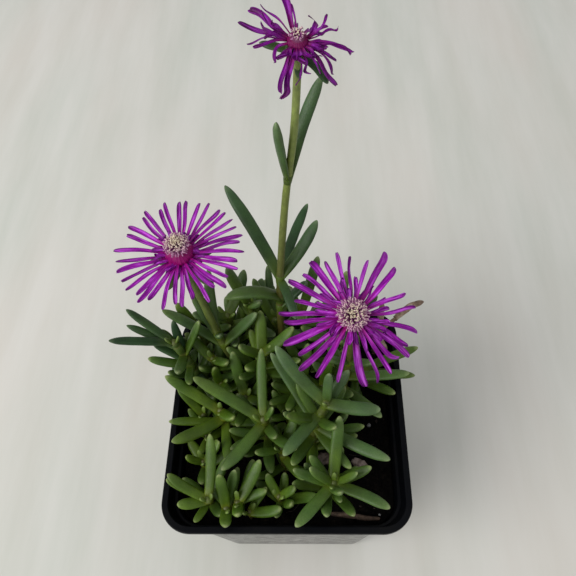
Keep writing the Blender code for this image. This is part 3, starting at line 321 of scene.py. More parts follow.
# Bark chips and a round twig that lie on the soil: middle, length, width, thickness and turn.
Chip = namedtuple("Chip", "x y length width thickness turn")
CHIPS = {
    "bark_chip_front": Chip(13, -15.5, 8, 5.5, 1.8, 15),
    "bark_chip_right": Chip(28, -17.5, 8, 4.5, 1.6, -35),
    "bark_chip_small": Chip(22.5, -22, 4.5, 2.5, 1.2, -25),
    "bark_chip_left": Chip(-18.5, -8.5, 7, 4, 1.8, -55),
}
TWIG = Chip(25, -37, 18, 2.2, 2.2, -6)
CHIP_OUTLINE = ((-0.5, -0.2), (-0.12, -0.5), (0.42, -0.36), (0.5, 0.22), (0.06, 0.5), (-0.42, 0.3))
TWIG_STATIONS = ((-0.5, 0.34, 0.0), (-0.15, 0.5, 0.2), (0.2, 0.42, -0.1), (0.5, 0.28, 0.15))

# The finer forms that show
LEAF_RINGS = 19
LEAF_CROWD = 1.6
LEAF_SECTION = (
    (-0.5, 0.0), (-0.46, 0.1), (-0.35, 0.18), (-0.18, 0.225), (0.0, 0.235), (0.18, 0.225),
    (0.35, 0.18), (0.46, 0.1), (0.5, 0.0), (0.46, -0.12), (0.35, -0.25), (0.2, -0.36),
    (0.0, -0.42), (-0.2, -0.36), (-0.35, -0.25), (-0.46, -0.12),
)
SHOULDER = 0.56
NECK_WIDTH = 0.68
BELLY_WIDTH = 0.87
SIDE_LEAF_FOOT = 4 * MM
SIDE_LEAF_STEP = 5.5 * MM
SIDE_LEAF_TOP = 108 * MM
SIDE_LEAF_GAP = 0.15 * MM
SIDE_SIZES_TRIED = (1.0, 0.82, 0.66, 0.5)
SIDE_TURNS_TRIED = (0, 20, -20, 40, -40)
SIDE_RISES_TRIED = (0, 16, -14)
STEM_SIDES = 14
STEM_COLOUR_REACH = 130 * MM
PETAL_RINGS = 26
BLADE = 0.32 * MM
CUP_SIDES = 20
CORNER_SIDES = 14
UNDERSIDE_INSET = 6 * MM
LIP_DEPTH = 2 * MM
EDGE_ROUND = 0.5 * MM
EDGE_STEPS = 5
DRAIN_RADIUS = 4 * MM
DRAIN_OFFSET = 19 * MM
TWIG_RINGS = 30
TWIG_SIDES = 12

# A chip's rings, as shares of its outline and of its thickness.
CHIP_LEVELS = ((0.84, 0.0), (1.0, 0.35), (0.97, 0.6), (0.86, 0.95), (0.6, 1.05), (0.3, 1.0), (0.08, 1.02))

# How far the chips and the twig are drawn below the solids' own height, to lie on the crumbly soil.
CHIP_SINK = 1.0 * MM
TWIG_SINK = 0.5 * MM

# How blue each shoot's leaves are: 0 for yellow-green, 1 for blue-green and above that for dark. Young
# leaves have a tone below 0.
PLAIN_TONE = 0.12
TONES = {
    "tall_flower_stem": 1.1, "right_centre_shoot": 0.8, "far_left_shoot": 1.25, "centre_shoot": 0.3,
    "left_flower_stem": 0.75, "right_flower_stem": 0.5, "front_right_shoot": 0.35, "back_gap_shoot": 0.8,
    "back_left_shoot": 0.6, "back_shoot": 0.6, "behind_stem_shoot": 0.5,
}
YOUNG_TONE = -0.5
SIDE_LEAF_TONE = 0.3
STEM_BROWNS = {"tall_flower_stem": 1.0, "right_flower_stem": 0.6}

# Thin, dried-up petals of the withering flower, beside those of the solids.
SHRIVELLED_PETALS = each(Petal, (
    (22, 13, 0.8, 40, 40, 1), (5, 12, 0.7, 30, -30, 2), (-10, 15, 0.8, 10, -40, 2), (-28, 14, 0.9, 0, -60, 1),
    (-48, 12, 0.8, -20, -60, 2), (-80, 12, 0.8, -30, -50, 1), (133, 14, 0.9, 26, -20, 2),
    (155, 13, 0.8, 22, 20, 2), (170, 14, 0.8, 4, -20, 1), (95, 10, 0.8, 40, -20, 2),
    (-158, 9, 1.8, 10, -70, 2), (-135, 7, 1.8, 4, -80, 1), (-176, 12, 1.6, 14, -30, 2),
    (165, 11, 2.2, 20, -30, 2), (152, 9, 2.0, 26, -20, 2), (-118, 6.5, 2.4, 26, -110, 2),
    (-100, 6, 2.2, 16, -100, 2), (-84, 6, 2.4, 30, -120, 2), (-66, 6.5, 2.0, 14, -90, 2),
    (-48, 8, 1.6, 20, -100, 2), (-30, 7, 2.2, 34, -110, 2), (-12, 8, 1.8, 24, -80, 2),
    (12, 8, 1.8, 34, -60, 2),
))

# Each flower's wilting from 0 to 1, the number of its stamens, the height that they stand above the
# petals, and the radius of the mound under them. The lengths are in millimetres.
HEADS = {"left": (0.25, 240, 3.9, 5.0), "right": (0.6, 280, 1.4, 4.8), "tall": (1.0, 46, 1.7, 3.0)}

# How far the longest of a flower's short inner petals reaches, in millimetres.
INNER_REACH = {"left": 10.5, "right": 14}

# The mound's rings, as shares of its height, and what its material reads at each: towards its top the
# petals' colour turns pale. Its foot lies a little deeper than the top of the petals.
MOUND_LEVELS = (-0.15, 0.0, 0.15, 0.32, 0.5, 0.67, 0.82, 0.94, 1.0)
MOUND_SHADES = (0.03, 0.03, 0.03, 0.03, 0.03, 0.03, -0.12, -0.3, -0.4)
MOUND_DEPTH = 0.7 * MM
LEAST_MOUND_HEIGHT = 1.2 * MM
MOUND_SIDES = 96

# The inner petals wilt more than the outer ones.
INNER_WILT = 1.2

# How far the stamens spread from the flower's axis, in degrees, and the widths of the grain at a
# stamen's end, as shares of its greatest, at places along it.
STAMEN_SPREAD = 80
BEAD_STATIONS = ((-0.5, 0.25), (-0.28, 0.85), (0.0, 1.0), (0.28, 0.85), (0.5, 0.25))
BEAD_SIDES = 6

# What lies on the soil: the numbers of crumbs, bits of bark and fibres, how far from the middle a fibre
# may reach, and the white grains of perlite by X, Y and size in millimetres.
CRUMBS = 1300
BARK_BITS = 60
FIBRES = 25
FIBRE_LIMIT = 38 * MM
PERLITE = [(32, -2, 1.7), (-15, 0, 2.2), (-13, -1.6, 1.6), (-34, 30, 1.6), (24, 34, 1.7), (34, -36, 1.1)]
SOIL_GRID = 128

# Dry surfaces: their dark, middle and light colour, the scale of the mottling and the bumps' height.
DRY_SURFACES = {
    "bark_bits": ((0.012, 0.008, 0.005), (0.035, 0.022, 0.015), (0.07, 0.05, 0.035), 500, 0.0002),
    "perlite": ((0.12, 0.12, 0.12), (0.24, 0.24, 0.24), (0.36, 0.36, 0.35), 900, 0.0002),
    "bark": ((0.03, 0.02, 0.014), (0.12, 0.085, 0.068), (0.27, 0.21, 0.18), 420, 0.0004),
    "twig_bark": ((0.035, 0.02, 0.012), (0.09, 0.055, 0.035), (0.16, 0.11, 0.08), 400, 0.0003),
    "dry_leaf": ((0.10, 0.06, 0.04), (0.22, 0.15, 0.10), (0.36, 0.29, 0.22), 350, 0.0003),
}

# The camera: where it stands, how far it looks down, its turn about +Z and its roll in degrees, and its
# focal length as a share of the picture's width.
CAMERA_PLACE = (13 * MM, -93 * MM, 304 * MM)
CAMERA_DOWN = 56.2
CAMERA_YAW = 5.1
CAMERA_ROLL = -5.2
SENSOR = 36.0
FOCAL_SHARE = 618 / 576

# The light: an even room, and a window at the front left.
ROOM_COLOUR = (0.98, 0.985, 1.0, 1.0)
ROOM_STRENGTH = 0.56
WINDOW_PLACE = (-1.1, -0.7, 1.1)
WINDOW_TARGET = (0, 0, 0.05)
WINDOW_SIZE = 1.3
WINDOW_POWER = 20
WINDOW_COLOUR = (1.0, 0.99, 0.96)
TABLE_GAP = 0.05 * MM


def wall_width(z):
    """Outside width of the tapered wall at a height, without the collar and the lip."""
    top = RIM_WIDTH - 2 * (LIP_OVERHANG + COLLAR_STEP)
    return BASE_WIDTH + (top - BASE_WIDTH) * z / POT_HEIGHT


def wall_corner(z):
    return BASE_CORNER + (RIM_CORNER - BASE_CORNER) * z / POT_HEIGHT


def inside_width(z):
    """Inside width of the pot at a height, with the wider space in the collar."""
    in_collar = z > POT_HEIGHT - COLLAR_DEPTH + WALL
    return wall_width(z) - 2 * WALL + (2 * COLLAR_STEP if in_collar else 0)


def soil_height(x, y):
    place = Vector((x, y, 0)) / SOIL_BUMP_SIZE
    return SOIL_LEVEL + SOIL_BUMP * noise.noise(place)


def smooth_path(points, step):
    """Points about a step apart on the Catmull-Rom curve through the given points."""
    padded = [2 * points[0] - points[1], *points, 2 * points[-1] - points[-2]]
    found = [points[0]]
    for before, start, end, after in zip(padded, padded[1:], padded[2:], padded[3:]):
        count = max(1, round((end - start).length / step))
        for index in range(1, count + 1):
            t = index / count
            found.append(
                0.5
                * (
                    2 * start
                    + (end - before) * t
                    + (2 * before - 5 * start + 4 * end - after) * t**2
                    + (3 * start - before - 3 * end + after) * t**3
                )
            )
    return found


def stem_points(shoot, step):
    """The stem's middle line: straight up out of the soil, then through the shoot's points."""
    x, y = (value * MM for value in shoot.path[0])
    foot = [Vector((x, y, SOIL_LEVEL - FOOT_DEPTH)), Vector((x, y, SOIL_LEVEL + 3 * MM))]
    rest = [Vector(point) * MM for point in shoot.path[1:]]
    return [foot[0], *smooth_path([foot[1], *rest], step)]


def stem_radius(shoot, z, top):
    """Stems thin a little from their foot to their top."""
    share = (z - SOIL_LEVEL) / (top - SOIL_LEVEL)
    return shoot.thickness * MM / 2 * (1 - STEM_TAPER * min(1, max(0, share)))


def point_at_height(points, z):
    for low, high in zip(points, points[1:]):
        if low.z <= z <= high.z:
            return low.lerp(high, (z - low.z) / (high.z - low.z))
    return points[-1]


def leaf_line(leaf, start, shares):
    """The leaf's middle line and its way up at each share of its length."""
    turn = math.radians(leaf.turn)
    place = start.copy()
    places = [place.copy()]
    for index in range(BEND_STEPS):
        share = (index + 0.5) / BEND_STEPS
        rise = math.radians(leaf.rise + leaf.curl * (share - 0.5))
        ahead = Vector((math.cos(turn) * math.cos(rise), math.sin(turn) * math.cos(rise), math.sin(rise)))
        place = place + ahead * (leaf.length * MM / BEND_STEPS)
        places.append(place.copy())
    found = []
    for share in shares:
        low = min(int(share * BEND_STEPS), BEND_STEPS - 1)
        spot = places[low].lerp(places[low + 1], share * BEND_STEPS - low)
        rise = math.radians(leaf.rise + leaf.curl * (share - 0.5))
        up = Vector((-math.cos(turn) * math.sin(rise), -math.sin(turn) * math.sin(rise), math.cos(rise)))
        found.append((spot, up))
    return found


class Standing:
    """What already stands, as chains of balls, so that a new leaf can be kept clear of it."""

    def __init__(self):
        self.centres = np.empty((0, 3))
        self.radii = np.empty(0)
        self.owners = np.empty(0, int)
        self.leafy = np.empty(0, bool)

    def add(self, owner, centres, radii, leafy=False):
        self.centres = np.vstack([self.centres, centres])
        self.radii = np.concatenate([self.radii, radii])
        self.owners = np.concatenate([self.owners, np.full(len(radii), owner)])
        self.leafy = np.concatenate([self.leafy, np.full(len(radii), leafy)])

    def room(self, owner, centres, radii):
        """The least gap to other shoots. The outer parts of a shoot's own leaves may just touch."""
        apart = np.linalg.norm(self.centres[None] - centres[:, None], axis=2)
        gaps = apart - self.radii[None] - radii[:, None]
        own = self.owners == owner
        least = gaps[1:, ~own].min(initial=1.0)
        free = round(SIBLING_FREE_SHARE * LEAF_SAMPLES)
        siblings = gaps[free:, own & self.leafy].min(initial=1.0)
        return min(least, siblings + LEAF_CLEARANCE)


def leaf_balls(leaf, start):
    shares = [(index + 0.5) / LEAF_SAMPLES for index in range(LEAF_SAMPLES)]
    centres = np.array([spot for spot, _ in leaf_line(leaf, start, shares)])
    widths = np.interp(shares, [*LEAF_STATIONS, 1.0], [*LEAF_WIDTHS, 0.0])
    return centres, leaf.width * MM / 2 * np.maximum(widths, THINNEST_BALL)


def in_pot(centres, radii):
    """Whether balls stay over the soil and off the wall wherever they dip below the rim."""
    low = centres[:, 2] - radii < POT_HEIGHT + LEAF_CLEARANCE
    if not low.any():
        return True
    centres, radii = centres[low], radii[low]
    half = inside_width(SOIL_LEVEL) / 2
    corner = RIM_CORNER - LIP_OVERHANG - WALL
    out = np.maximum(np.abs(centres[:, :2]) - (half - corner), 0)
    off_wall = np.hypot(out[:, 0], out[:, 1]) - corner + radii < -LEAF_CLEARANCE
    off_soil = centres[:, 2] - radii > SOIL_LEVEL + SOIL_BUMP / 2 + LEAF_CLEARANCE
    return bool((off_wall & off_soil).all())


def every_change():
    """The turns, rises and sizes to try for a leaf, the smallest change first."""
    changes = [
        (abs(turn) / 5 + abs(rise) / 5 + (1 - size) * 40, turn, rise, size)
        for turn, rise, size in product(TURNS_TRIED, RISES_TRIED, SIZES_TRIED)
    ]
    return [change[1:] for change in sorted(changes)]


def placed(leaf, start, owner, standing, changes, gap):
    """The leaf with the first change by which it keeps its gap from what stands; None without room."""
    for turn, rise, size in changes:
        raised = min(leaf.rise + rise, STEEPEST_RISE)
        tried = leaf._replace(turn=leaf.turn + turn, rise=raised, length=leaf.length * size)
        centres, radii = leaf_balls(tried, start)
        if in_pot(centres[1:], radii[1:]) and standing.room(owner, centres, radii) >= gap:
            standing.add(owner, centres[1:], radii[1:], True)
            return tried
    return None


def flower_matrix(bloom):
    """From a flower's own frame, with Z along its axis, to the part's."""
    out = Vector(bloom.facing).normalized()
    right = (Vector((1, 0, 0)) - out * out.x).normalized()
    turned = Matrix((right, out.cross(right), out)).transposed().to_4x4()
    return Matrix.Translation(Vector(bloom.centre) * MM) @ turned


def petal_path(petal, shares):
    """Middle line of a petal in its flower's own frame, with the way up at each point."""
    turn = math.radians(petal.turn)
    out = Vector((math.cos(turn), math.sin(turn), 0))
    level = Vector((0, 0, 1))
    place = out * PETAL_START + level * (petal.layer * LAYER_STEP)
    length = petal.reach * MM - PETAL_START
    places = [place]
    for index in range(BEND_STEPS):
        rise = math.radians(petal.rise + petal.curl * (index + 0.5) / BEND_STEPS)
        place = place + (out * math.cos(rise) + level * math.sin(rise)) * (length / BEND_STEPS)
        places.append(place)
    found = []
    for share in shares:
        low = min(int(share * BEND_STEPS), BEND_STEPS - 1)
        rise = math.radians(petal.rise + petal.curl * share)
        spot = places[low].lerp(places[low + 1], share * BEND_STEPS - low)
        found.append((spot, level * math.cos(rise) - out * math.sin(rise)))
    return found


def petals_top(bloom):
    return max(petal.layer for petal in bloom.petals) * LAYER_STEP + PETAL_THICKNESS / 2


def calyx_top():
    """Height of the green cup's upper face in its flower's own frame."""
    return -PETAL_THICKNESS / 2 - TOUCH_GAP


def sepal_leaf(sepal):
    start = Vector((0, 0, calyx_top() - SEPAL_DEPTH))
    return Leaf(0, sepal.turn, sepal.rise, sepal.length, sepal.width, sepal.curl), start


def flower_balls(bloom):
    """The space that a flower's petals and sepals take, for the leaves to keep clear of."""
    place = flower_matrix(bloom)
    centres, radii = [], []
    for petal in bloom.petals:
        for spot, _ in petal_path(petal, [0.1 * step for step in range(1, 11)]):
            centres.append(place @ spot)
            radii.append(petal.width * MM / 2 + PETAL_THICKNESS / 2)
    for sepal in bloom.sepals:
        spots, sizes = leaf_balls(*sepal_leaf(sepal))
        centres += [place @ Vector(spot) for spot in spots]
        radii += list(sizes)
    return np.array(centres), np.array(radii)


def every_shoot():
    """All shoots in the order in which their leaves find room."""
    return {**FLOWER_STEMS, **SHOOTS, WITHERED_NAME: WITHERED_SHOOT}


def along_chip(chip, x, y, z):
    """A point of a chip's own frame, in shares of its size, brought to its place on the soil."""
    turn = math.radians(chip.turn)
    right, ahead = x * chip.length, y * chip.width
    spot = Vector(
        (
            chip.x + right * math.cos(turn) - ahead * math.sin(turn),
            chip.y + right * math.sin(turn) + ahead * math.cos(turn),
            z * chip.thickness,
        )
    )
    return spot * MM


def chip_floor(chip):
    """The lowest height that keeps a chip clear of the bumpy soil."""
    spots = [along_chip(chip, x, y, 0) for x in (-0.5, 0, 0.5) for y in (-0.5, 0, 0.5)]
    return max(soil_height(spot.x, spot.y) for spot in spots) + CHIP_LIFT


def chip_balls(chip):
    """The space over a chip or twig, for the leaves to keep clear of."""
    middle = Vector((0, 0, chip_floor(chip) + chip.thickness * MM / 2))
    spots = [along_chip(chip, x, y, 0) + middle for x in (-0.4, -0.2, 0, 0.2, 0.4) for y in (-0.25, 0.25)]
    return np.array(spots), np.full(len(spots), chip.thickness * MM / 2 + CHIP_LIFT)


def fitted_leaves():
    """Each shoot's fine middle line and its leaves with their starts, placed as in the solids."""
    everyone = every_shoot()
    standing = Standing()
    lines = {}
    for owner, (name, shoot) in enumerate(everyone.items()):
        fine = stem_points(shoot, 1.5 * MM)
        top = fine[-1].z
        lines[name] = fine
        above = [point for point in fine if point.z > SOIL_LEVEL]
        radii = np.array([stem_radius(shoot, point.z, top) for point in above])
        standing.add(owner, np.array(above), radii)
    for bloom in BLOOMS.values():
        standing.add(len(everyone), *flower_balls(bloom))
    for chip in [*CHIPS.values(), TWIG]:
        standing.add(len(everyone), *chip_balls(chip))
    leaves = {}
    changes = every_change()
    for owner, (name, shoot) in enumerate(everyone.items()):
        leaves[name] = []
        for leaf in shoot.leaves:
            start = point_at_height(lines[name], leaf.height * MM)
            fitted = placed(leaf, start, owner, standing, changes, LEAF_CLEARANCE)
            if fitted:
                leaves[name].append((fitted, start))
    return lines, leaves, side_leaves(lines, standing)


def side_leaves(lines, standing):
    """Small leaves along the lower stems, each where it finds room among what stands."""
    draw = random.Random(77)
    tried = product(SIDE_SIZES_TRIED, SIDE_TURNS_TRIED, SIDE_RISES_TRIED)
    changes = [(turn, rise, size) for size, turn, rise in tried]
    found = {}
    for owner, name in enumerate(every_shoot()):
        found[name] = []
        height = SOIL_LEVEL + SIDE_LEAF_FOOT
        while name in SHOOTS and height < min(lines[name][-1].z - SIDE_LEAF_FOOT, SIDE_LEAF_TOP):
            start = point_at_height(lines[name], height)
            turn = draw.uniform(0, 360)
            for third in range(3):
                rise, length = draw.uniform(14, 50), draw.uniform(13, 20)
                wish = Leaf(0, turn + 120 * third, rise, length, 0.12 * length + 2.4, 14)
                fitted = placed(wish, start, owner, standing, changes, SIDE_LEAF_GAP)
                if fitted:
                    found[name].append((fitted, start))
            height += SIDE_LEAF_STEP
    return found


def mesh_of(name, points, faces):
    mesh = bpy.data.meshes.new(name)
    mesh.from_pydata(points, [], faces)
    return mesh


def added(name, data):
    """A new object of the scene."""
    made = bpy.data.objects.new(name, data)
    bpy.context.scene.collection.objects.link(made)
    return made


def turns_around(count):
    return [2 * math.pi * at / count for at in range(count)]


class Shape:
    """The points and faces of one piece, with the values that its materials read at each point."""

    def __init__(self):
        self.points = []
        self.faces = []
        self.finishes = []
        self.values = {"along": [], "across": [], "tone": []}

    def point(self, place, along, across, tone):
        self.points.append(tuple(place))
        self.values["along"].append(along)
        self.values["across"].append(across)
        self.values["tone"].append(tone)
        return len(self.points) - 1

    def face(self, corners, finish):
        self.faces.append(corners)
        self.finishes.append(finish)

    def loft(self, rings, alongs, acrosses, tone, finish=0):
        """A closed skin through rings of points. Both ends close to the middle of their ring."""
        rows = []
        for ring, along in zip(rings, alongs):
            rows.append([self.point(place, along, side, tone) for place, side in zip(ring, acrosses)])
        count = len(rows[0])
        for low, high in zip(rows, rows[1:]):
            for at in range(count):
                after = (at + 1) % count
                self.face((low[at], low[after], high[after], high[at]), finish)
        for end in (0, -1):
            row = rows[end]
            middle = sum((Vector(place) for place in rings[end]), Vector()) / count
            centre = self.point(middle, alongs[end], 0.0, tone)
            for at in range(count):
                side = (row[at], row[(at + 1) % count])
                self.face((*(side if end else side[::-1]), centre), finish)

    def made(self, name, materials, slot, replaced=(), smooth=True):
        mesh = mesh_of(name, self.points, self.faces)
        for key, numbers in self.values.items():
            layer = mesh.attributes.new(key, "FLOAT", "POINT")
            layer.data.foreach_set("value", numbers)
        piece = added(name, mesh)
        for finish in materials:
            mesh.materials.append(finish)
        mesh.polygons.foreach_set("material_index", self.finishes)
        mesh.polygons.foreach_set("use_smooth", [smooth] * len(self.faces))
        mesh.update()
        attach(piece, "root")
        if replaced:
            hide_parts(*replaced)
        return piece


def leaf_width(share):
    """Width at a share of the length, as a part of the greatest: a slim blade with a blunt tip."""
    if share < SHOULDER:
        return NECK_WIDTH + (BELLY_WIDTH - NECK_WIDTH) * (1 - (1 - share / SHOULDER) ** 2.2)
    tip = (share - SHOULDER) / (1 - SHOULDER)
    return BELLY_WIDTH * max(0.0, 1 - tip ** 2.9) ** 0.57


def leaf_skin(shape, leaf, start, draw, tone, place=None, dent=0.09, flat=1.0):
    """A fleshy blade: nearly flat above, keeled below, a little rolled, bowed and dented."""
    shares = [1 - (1 - step / LEAF_RINGS) ** LEAF_CROWD for step in range(LEAF_RINGS)] + [0.9985]
    turn = math.radians(leaf.turn)
    across = Vector((math.sin(turn), -math.cos(turn), 0))
    roll = math.radians(draw.uniform(-12, 12))
    bow = draw.uniform(-0.04, 0.04) * leaf.length * MM
    tone += draw.uniform(-0.12, 0.12)
    groove = draw.uniform(0.05, 0.15)
    rings = []
    for (spot, up), share in zip(leaf_line(leaf, start, shares), shares):
        width = leaf.width * MM * leaf_width(share)
        side = across * math.cos(roll) + up * math.sin(roll)
        high = up * math.cos(roll) - across * math.sin(roll)
        middle = spot + side * (bow * math.sin(math.pi * share * 0.9))
        ring = []
        for x, z in LEAF_SECTION:
            if z > 0:
                z -= groove * (1 - share) ** 1.5 * (1 - 4 * x * x)
            where = middle + side * (x * width) + high * (z * width * flat)
            push = noise.noise(where / (3.2 * MM)) * dent * MM * min(1, width / MM)
            ring.append(where + (where - middle).normalized() * push)
        rings.append(ring)
    if place:
        rings = [[place @ where for where in ring] for ring in rings]
    acrosses = [2 * x if z >= 0 else 0.0 for x, z in LEAF_SECTION]
    shape.loft(rings, shares, acrosses, tone)


def tube_rings(points, radii, sides):
    """Rings of a round tube along points, kept from twisting."""
    rings = []
    side = Vector((1, 0, 0))
    for index, point in enumerate(points):
        ahead = points[min(index + 1, len(points) - 1)] - points[max(index - 1, 0)]
        along = ahead.normalized()
        side = side - along * side.dot(along)
        side = side.normalized() if side.length > 1e-6 else along.orthogonal().normalized()
        other = along.cross(side)
        ring = [side * math.cos(a) + other * math.sin(a) for a in turns_around(sides)]
        rings.append([point + radii[index] * out for out in ring])
    return rings


def sheath_skin(shape, shoot, node, tone):
    """The short green sleeve by which a pair of leaves clasps the stem."""
    fine = stem_points(shoot, 0.4 * MM)
    top = fine[-1].z
    stations = ((-2.6, 0.9), (-2.0, 1.06), (-1.2, 1.16), (-0.3, 1.24), (0.5, 1.22), (1.1, 1.05), (1.4, 0.8))
    points = [point_at_height(fine, min(top, node + rise * MM)) for rise, _ in stations]
    points = [point + Vector((0, 0, index * 0.01 * MM)) for index, point in enumerate(points)]
    radii = [stem_radius(shoot, node, top) * wide for _, wide in stations]
    shape.loft(tube_rings(points, radii, STEM_SIDES), [0.02] * len(points), [0.0] * STEM_SIDES, tone)


def stem_skin(shape, shoot, nodes, brown, finish=1):
    """A round stem, swollen where leaves grow from it, with a domed top."""
    points = stem_points(shoot, 1.1 * MM)
    top = points[-1].z
    radii = []
    for point in points:
        swell = sum(math.exp(-(((point.z - node) / (1.3 * MM)) ** 2)) for node in nodes)
        wobble = 0.05 * noise.noise(point / (4 * MM))
        radii.append(stem_radius(shoot, point.z, top) * (1 + 0.16 * min(1, swell) + wobble))
    last, end = points[-1], radii[-1]
    ahead = (points[-1] - points[-2]).normalized()
    for step, share in ((0.45, 0.85), (0.8, 0.5), (0.95, 0.15)):
        points.append(last + ahead * end * step)
        radii.append(end * share)
    alongs = [(point.z - SOIL_LEVEL) / STEM_COLOUR_REACH for point in points]
    shape.loft(tube_rings(points, radii, STEM_SIDES), alongs, [0.0] * STEM_SIDES, brown, finish)


def bud_skins(shape, shoot, draw):
    """The pair of young leaves at a shoot's tip, still pressed together."""
    points = stem_points(shoot, 1.5 * MM)
    turn = draw.uniform(0, 180)
    size = draw.uniform(4.2, 6.6)
    for side in (0, 180):
        bud = Leaf(0, turn + side, draw.uniform(50, 68), size, 2.1, 14)
        leaf_skin(shape, bud, points[-1] - Vector((0, 0, 0.8 * MM)), draw, YOUNG_TONE)


def petal_width(share, blunt):
    """Width at a share of the length, as a part of the greatest."""
    if share < 0.86:
        rise = min(1.0, share / 0.66)
        return 0.56 + 0.44 * rise * rise * (3 - 2 * rise)
    tip = (share - 0.86) / 0.14
    return blunt + (1 - blunt) * math.sqrt(max(0.0, 1 - tip * tip))


def petal_skin(shape, petal, place, draw, wilt=0.0):
    """A narrow, shallow gutter of a petal, twisted, bowed and waved, with an uneven end. Wilting adds
    to all of these and hooks the end."""
    shares = [1 - (1 - step / PETAL_RINGS) ** 1.3 for step in range(PETAL_RINGS)] + [1.0]
    turn = math.radians(petal.turn)
    across = Vector((-math.sin(turn), math.cos(turn), 0))
    out = Vector((math.cos(turn), math.sin(turn), 0))
    twist = math.radians(draw.uniform(-16, 16) + wilt * draw.uniform(-55, 55))
    bow = draw.uniform(-1.0, 1.0) * (1 + 0.9 * wilt) * MM
    sway = draw.uniform(-0.35, 0.35) * (1 + 1.6 * wilt) * MM
    heave = draw.uniform(-0.5, 0.5) * (1 + 1.2 * wilt) * MM
    hook = max(0.0, draw.uniform(-1.6, 2.4) * wilt) * MM
    hook_side = draw.uniform(-1.2, 1.2) * hook
    depth = draw.uniform(0.10, 0.24) + 0.3 * wilt
    wave = draw.uniform(0.05, 0.13) * (1 + 1.8 * wilt)
    notch = draw.uniform(0.0, 0.5) * petal.width * MM * 0.5
    blunt = draw.uniform(0.12, 0.42)
    slim = draw.uniform(0.82, 1.12)
    phase = draw.uniform(0, 6.28)
    tone = draw.random()
    lanes = [-1 + 2 * step / 6 for step in range(7)]
    rings = []
    for (spot, up), share in zip(petal_path(petal, shares), shares):
        half = petal.width * MM * petal_width(share, blunt) / 2 * (1 - 0.22 * wilt) * slim
        angle = twist * share
        side = across * math.cos(angle) + up * math.sin(angle)
        high = up * math.cos(angle) - across * math.sin(angle)
        shift = bow * share * share + sway * math.sin(phase + 6.5 * share) * share
        end = max(0.0, share - 0.82) / 0.18
        middle = spot + across * (shift + hook_side * end * end)
        middle += up * (heave * math.sin(2 * phase + 5.5 * share) * share + hook * end * end)
        middle -= out * (0.4 * hook * end * end)
        thick = BLADE * (1.25 - 0.55 * share)
        ring = []
        for face in (1, -1):
            for lane in lanes if face > 0 else lanes[::-1]:
                dip = (lane * lane - 0.5) * depth * 2 * half
                ripple = wave * MM * abs(lane) * math.sin(phase + 9 * share + 1.5 * lane) * share
                edge = 0.35 + 0.65 * math.sqrt(max(0.0, 1 - lane * lane))
                jag = notch * (abs(lane) - 0.5 + 0.3 * math.sin(phase + 5 * lane)) * end * end
                where = middle + side * (lane * half) + out * jag
                ring.append(where + high * (dip + ripple + face * thick / 2 * edge))
        rings.append([place @ where for where in ring])
    acrosses = lanes + lanes[::-1]
    shape.loft(rings, shares, acrosses, tone)


def bead(shape, centre, axis, size, tone):
    """The small oval grain at a stamen's end."""
    points = [centre + axis * (size * at) for at, _ in BEAD_STATIONS]
    rings = tube_rings(points, [0.21 * size * wide for _, wide in BEAD_STATIONS], BEAD_SIDES)
    shape.loft(rings, [0.5 + at for at, _ in BEAD_STATIONS], [0.0] * BEAD_SIDES, tone, 1)


def mound_skin(shape, place, radius, foot, height):
    """The crimson, finely ribbed mound of barren stamens in the middle of a flower."""
    rings = []
    for level in MOUND_LEVELS:
        wide = radius * math.sqrt(max(0.02, 1 - level * level))
        ring = []
        for a in turns_around(MOUND_SIDES):
            uneven = noise.noise(Vector((3 * math.cos(a), 3 * math.sin(a), 4 * level)))
            reach = wide * (1 + 0.03 * math.cos(a * 24 + 3 * level) + 0.12 * uneven)
            ring.append(place @ Vector((reach * math.cos(a), reach * math.sin(a), foot + height * level)))
        rings.append(ring)
    acrosses = [math.cos(at * 48 * math.pi / MOUND_SIDES) for at in range(MOUND_SIDES)]
    shape.loft(rings, MOUND_SHADES, acrosses, 0.3)


def inner_petals(bloom, longest, draw):
    """The shorter petals of a flower, between its long ones."""
    found = []
    for petal in bloom.petals:
        turn = petal.turn + draw.uniform(3, 8)
        reach, rise = draw.uniform(0.6, 1.0) * longest, draw.uniform(2, 16)
        wide, curl = draw.uniform(1.4, 2.1), draw.uniform(-14, 4)
        found.append(Petal(turn, reach, wide, rise, curl, draw.choice((0, 1, 2))))
    return found


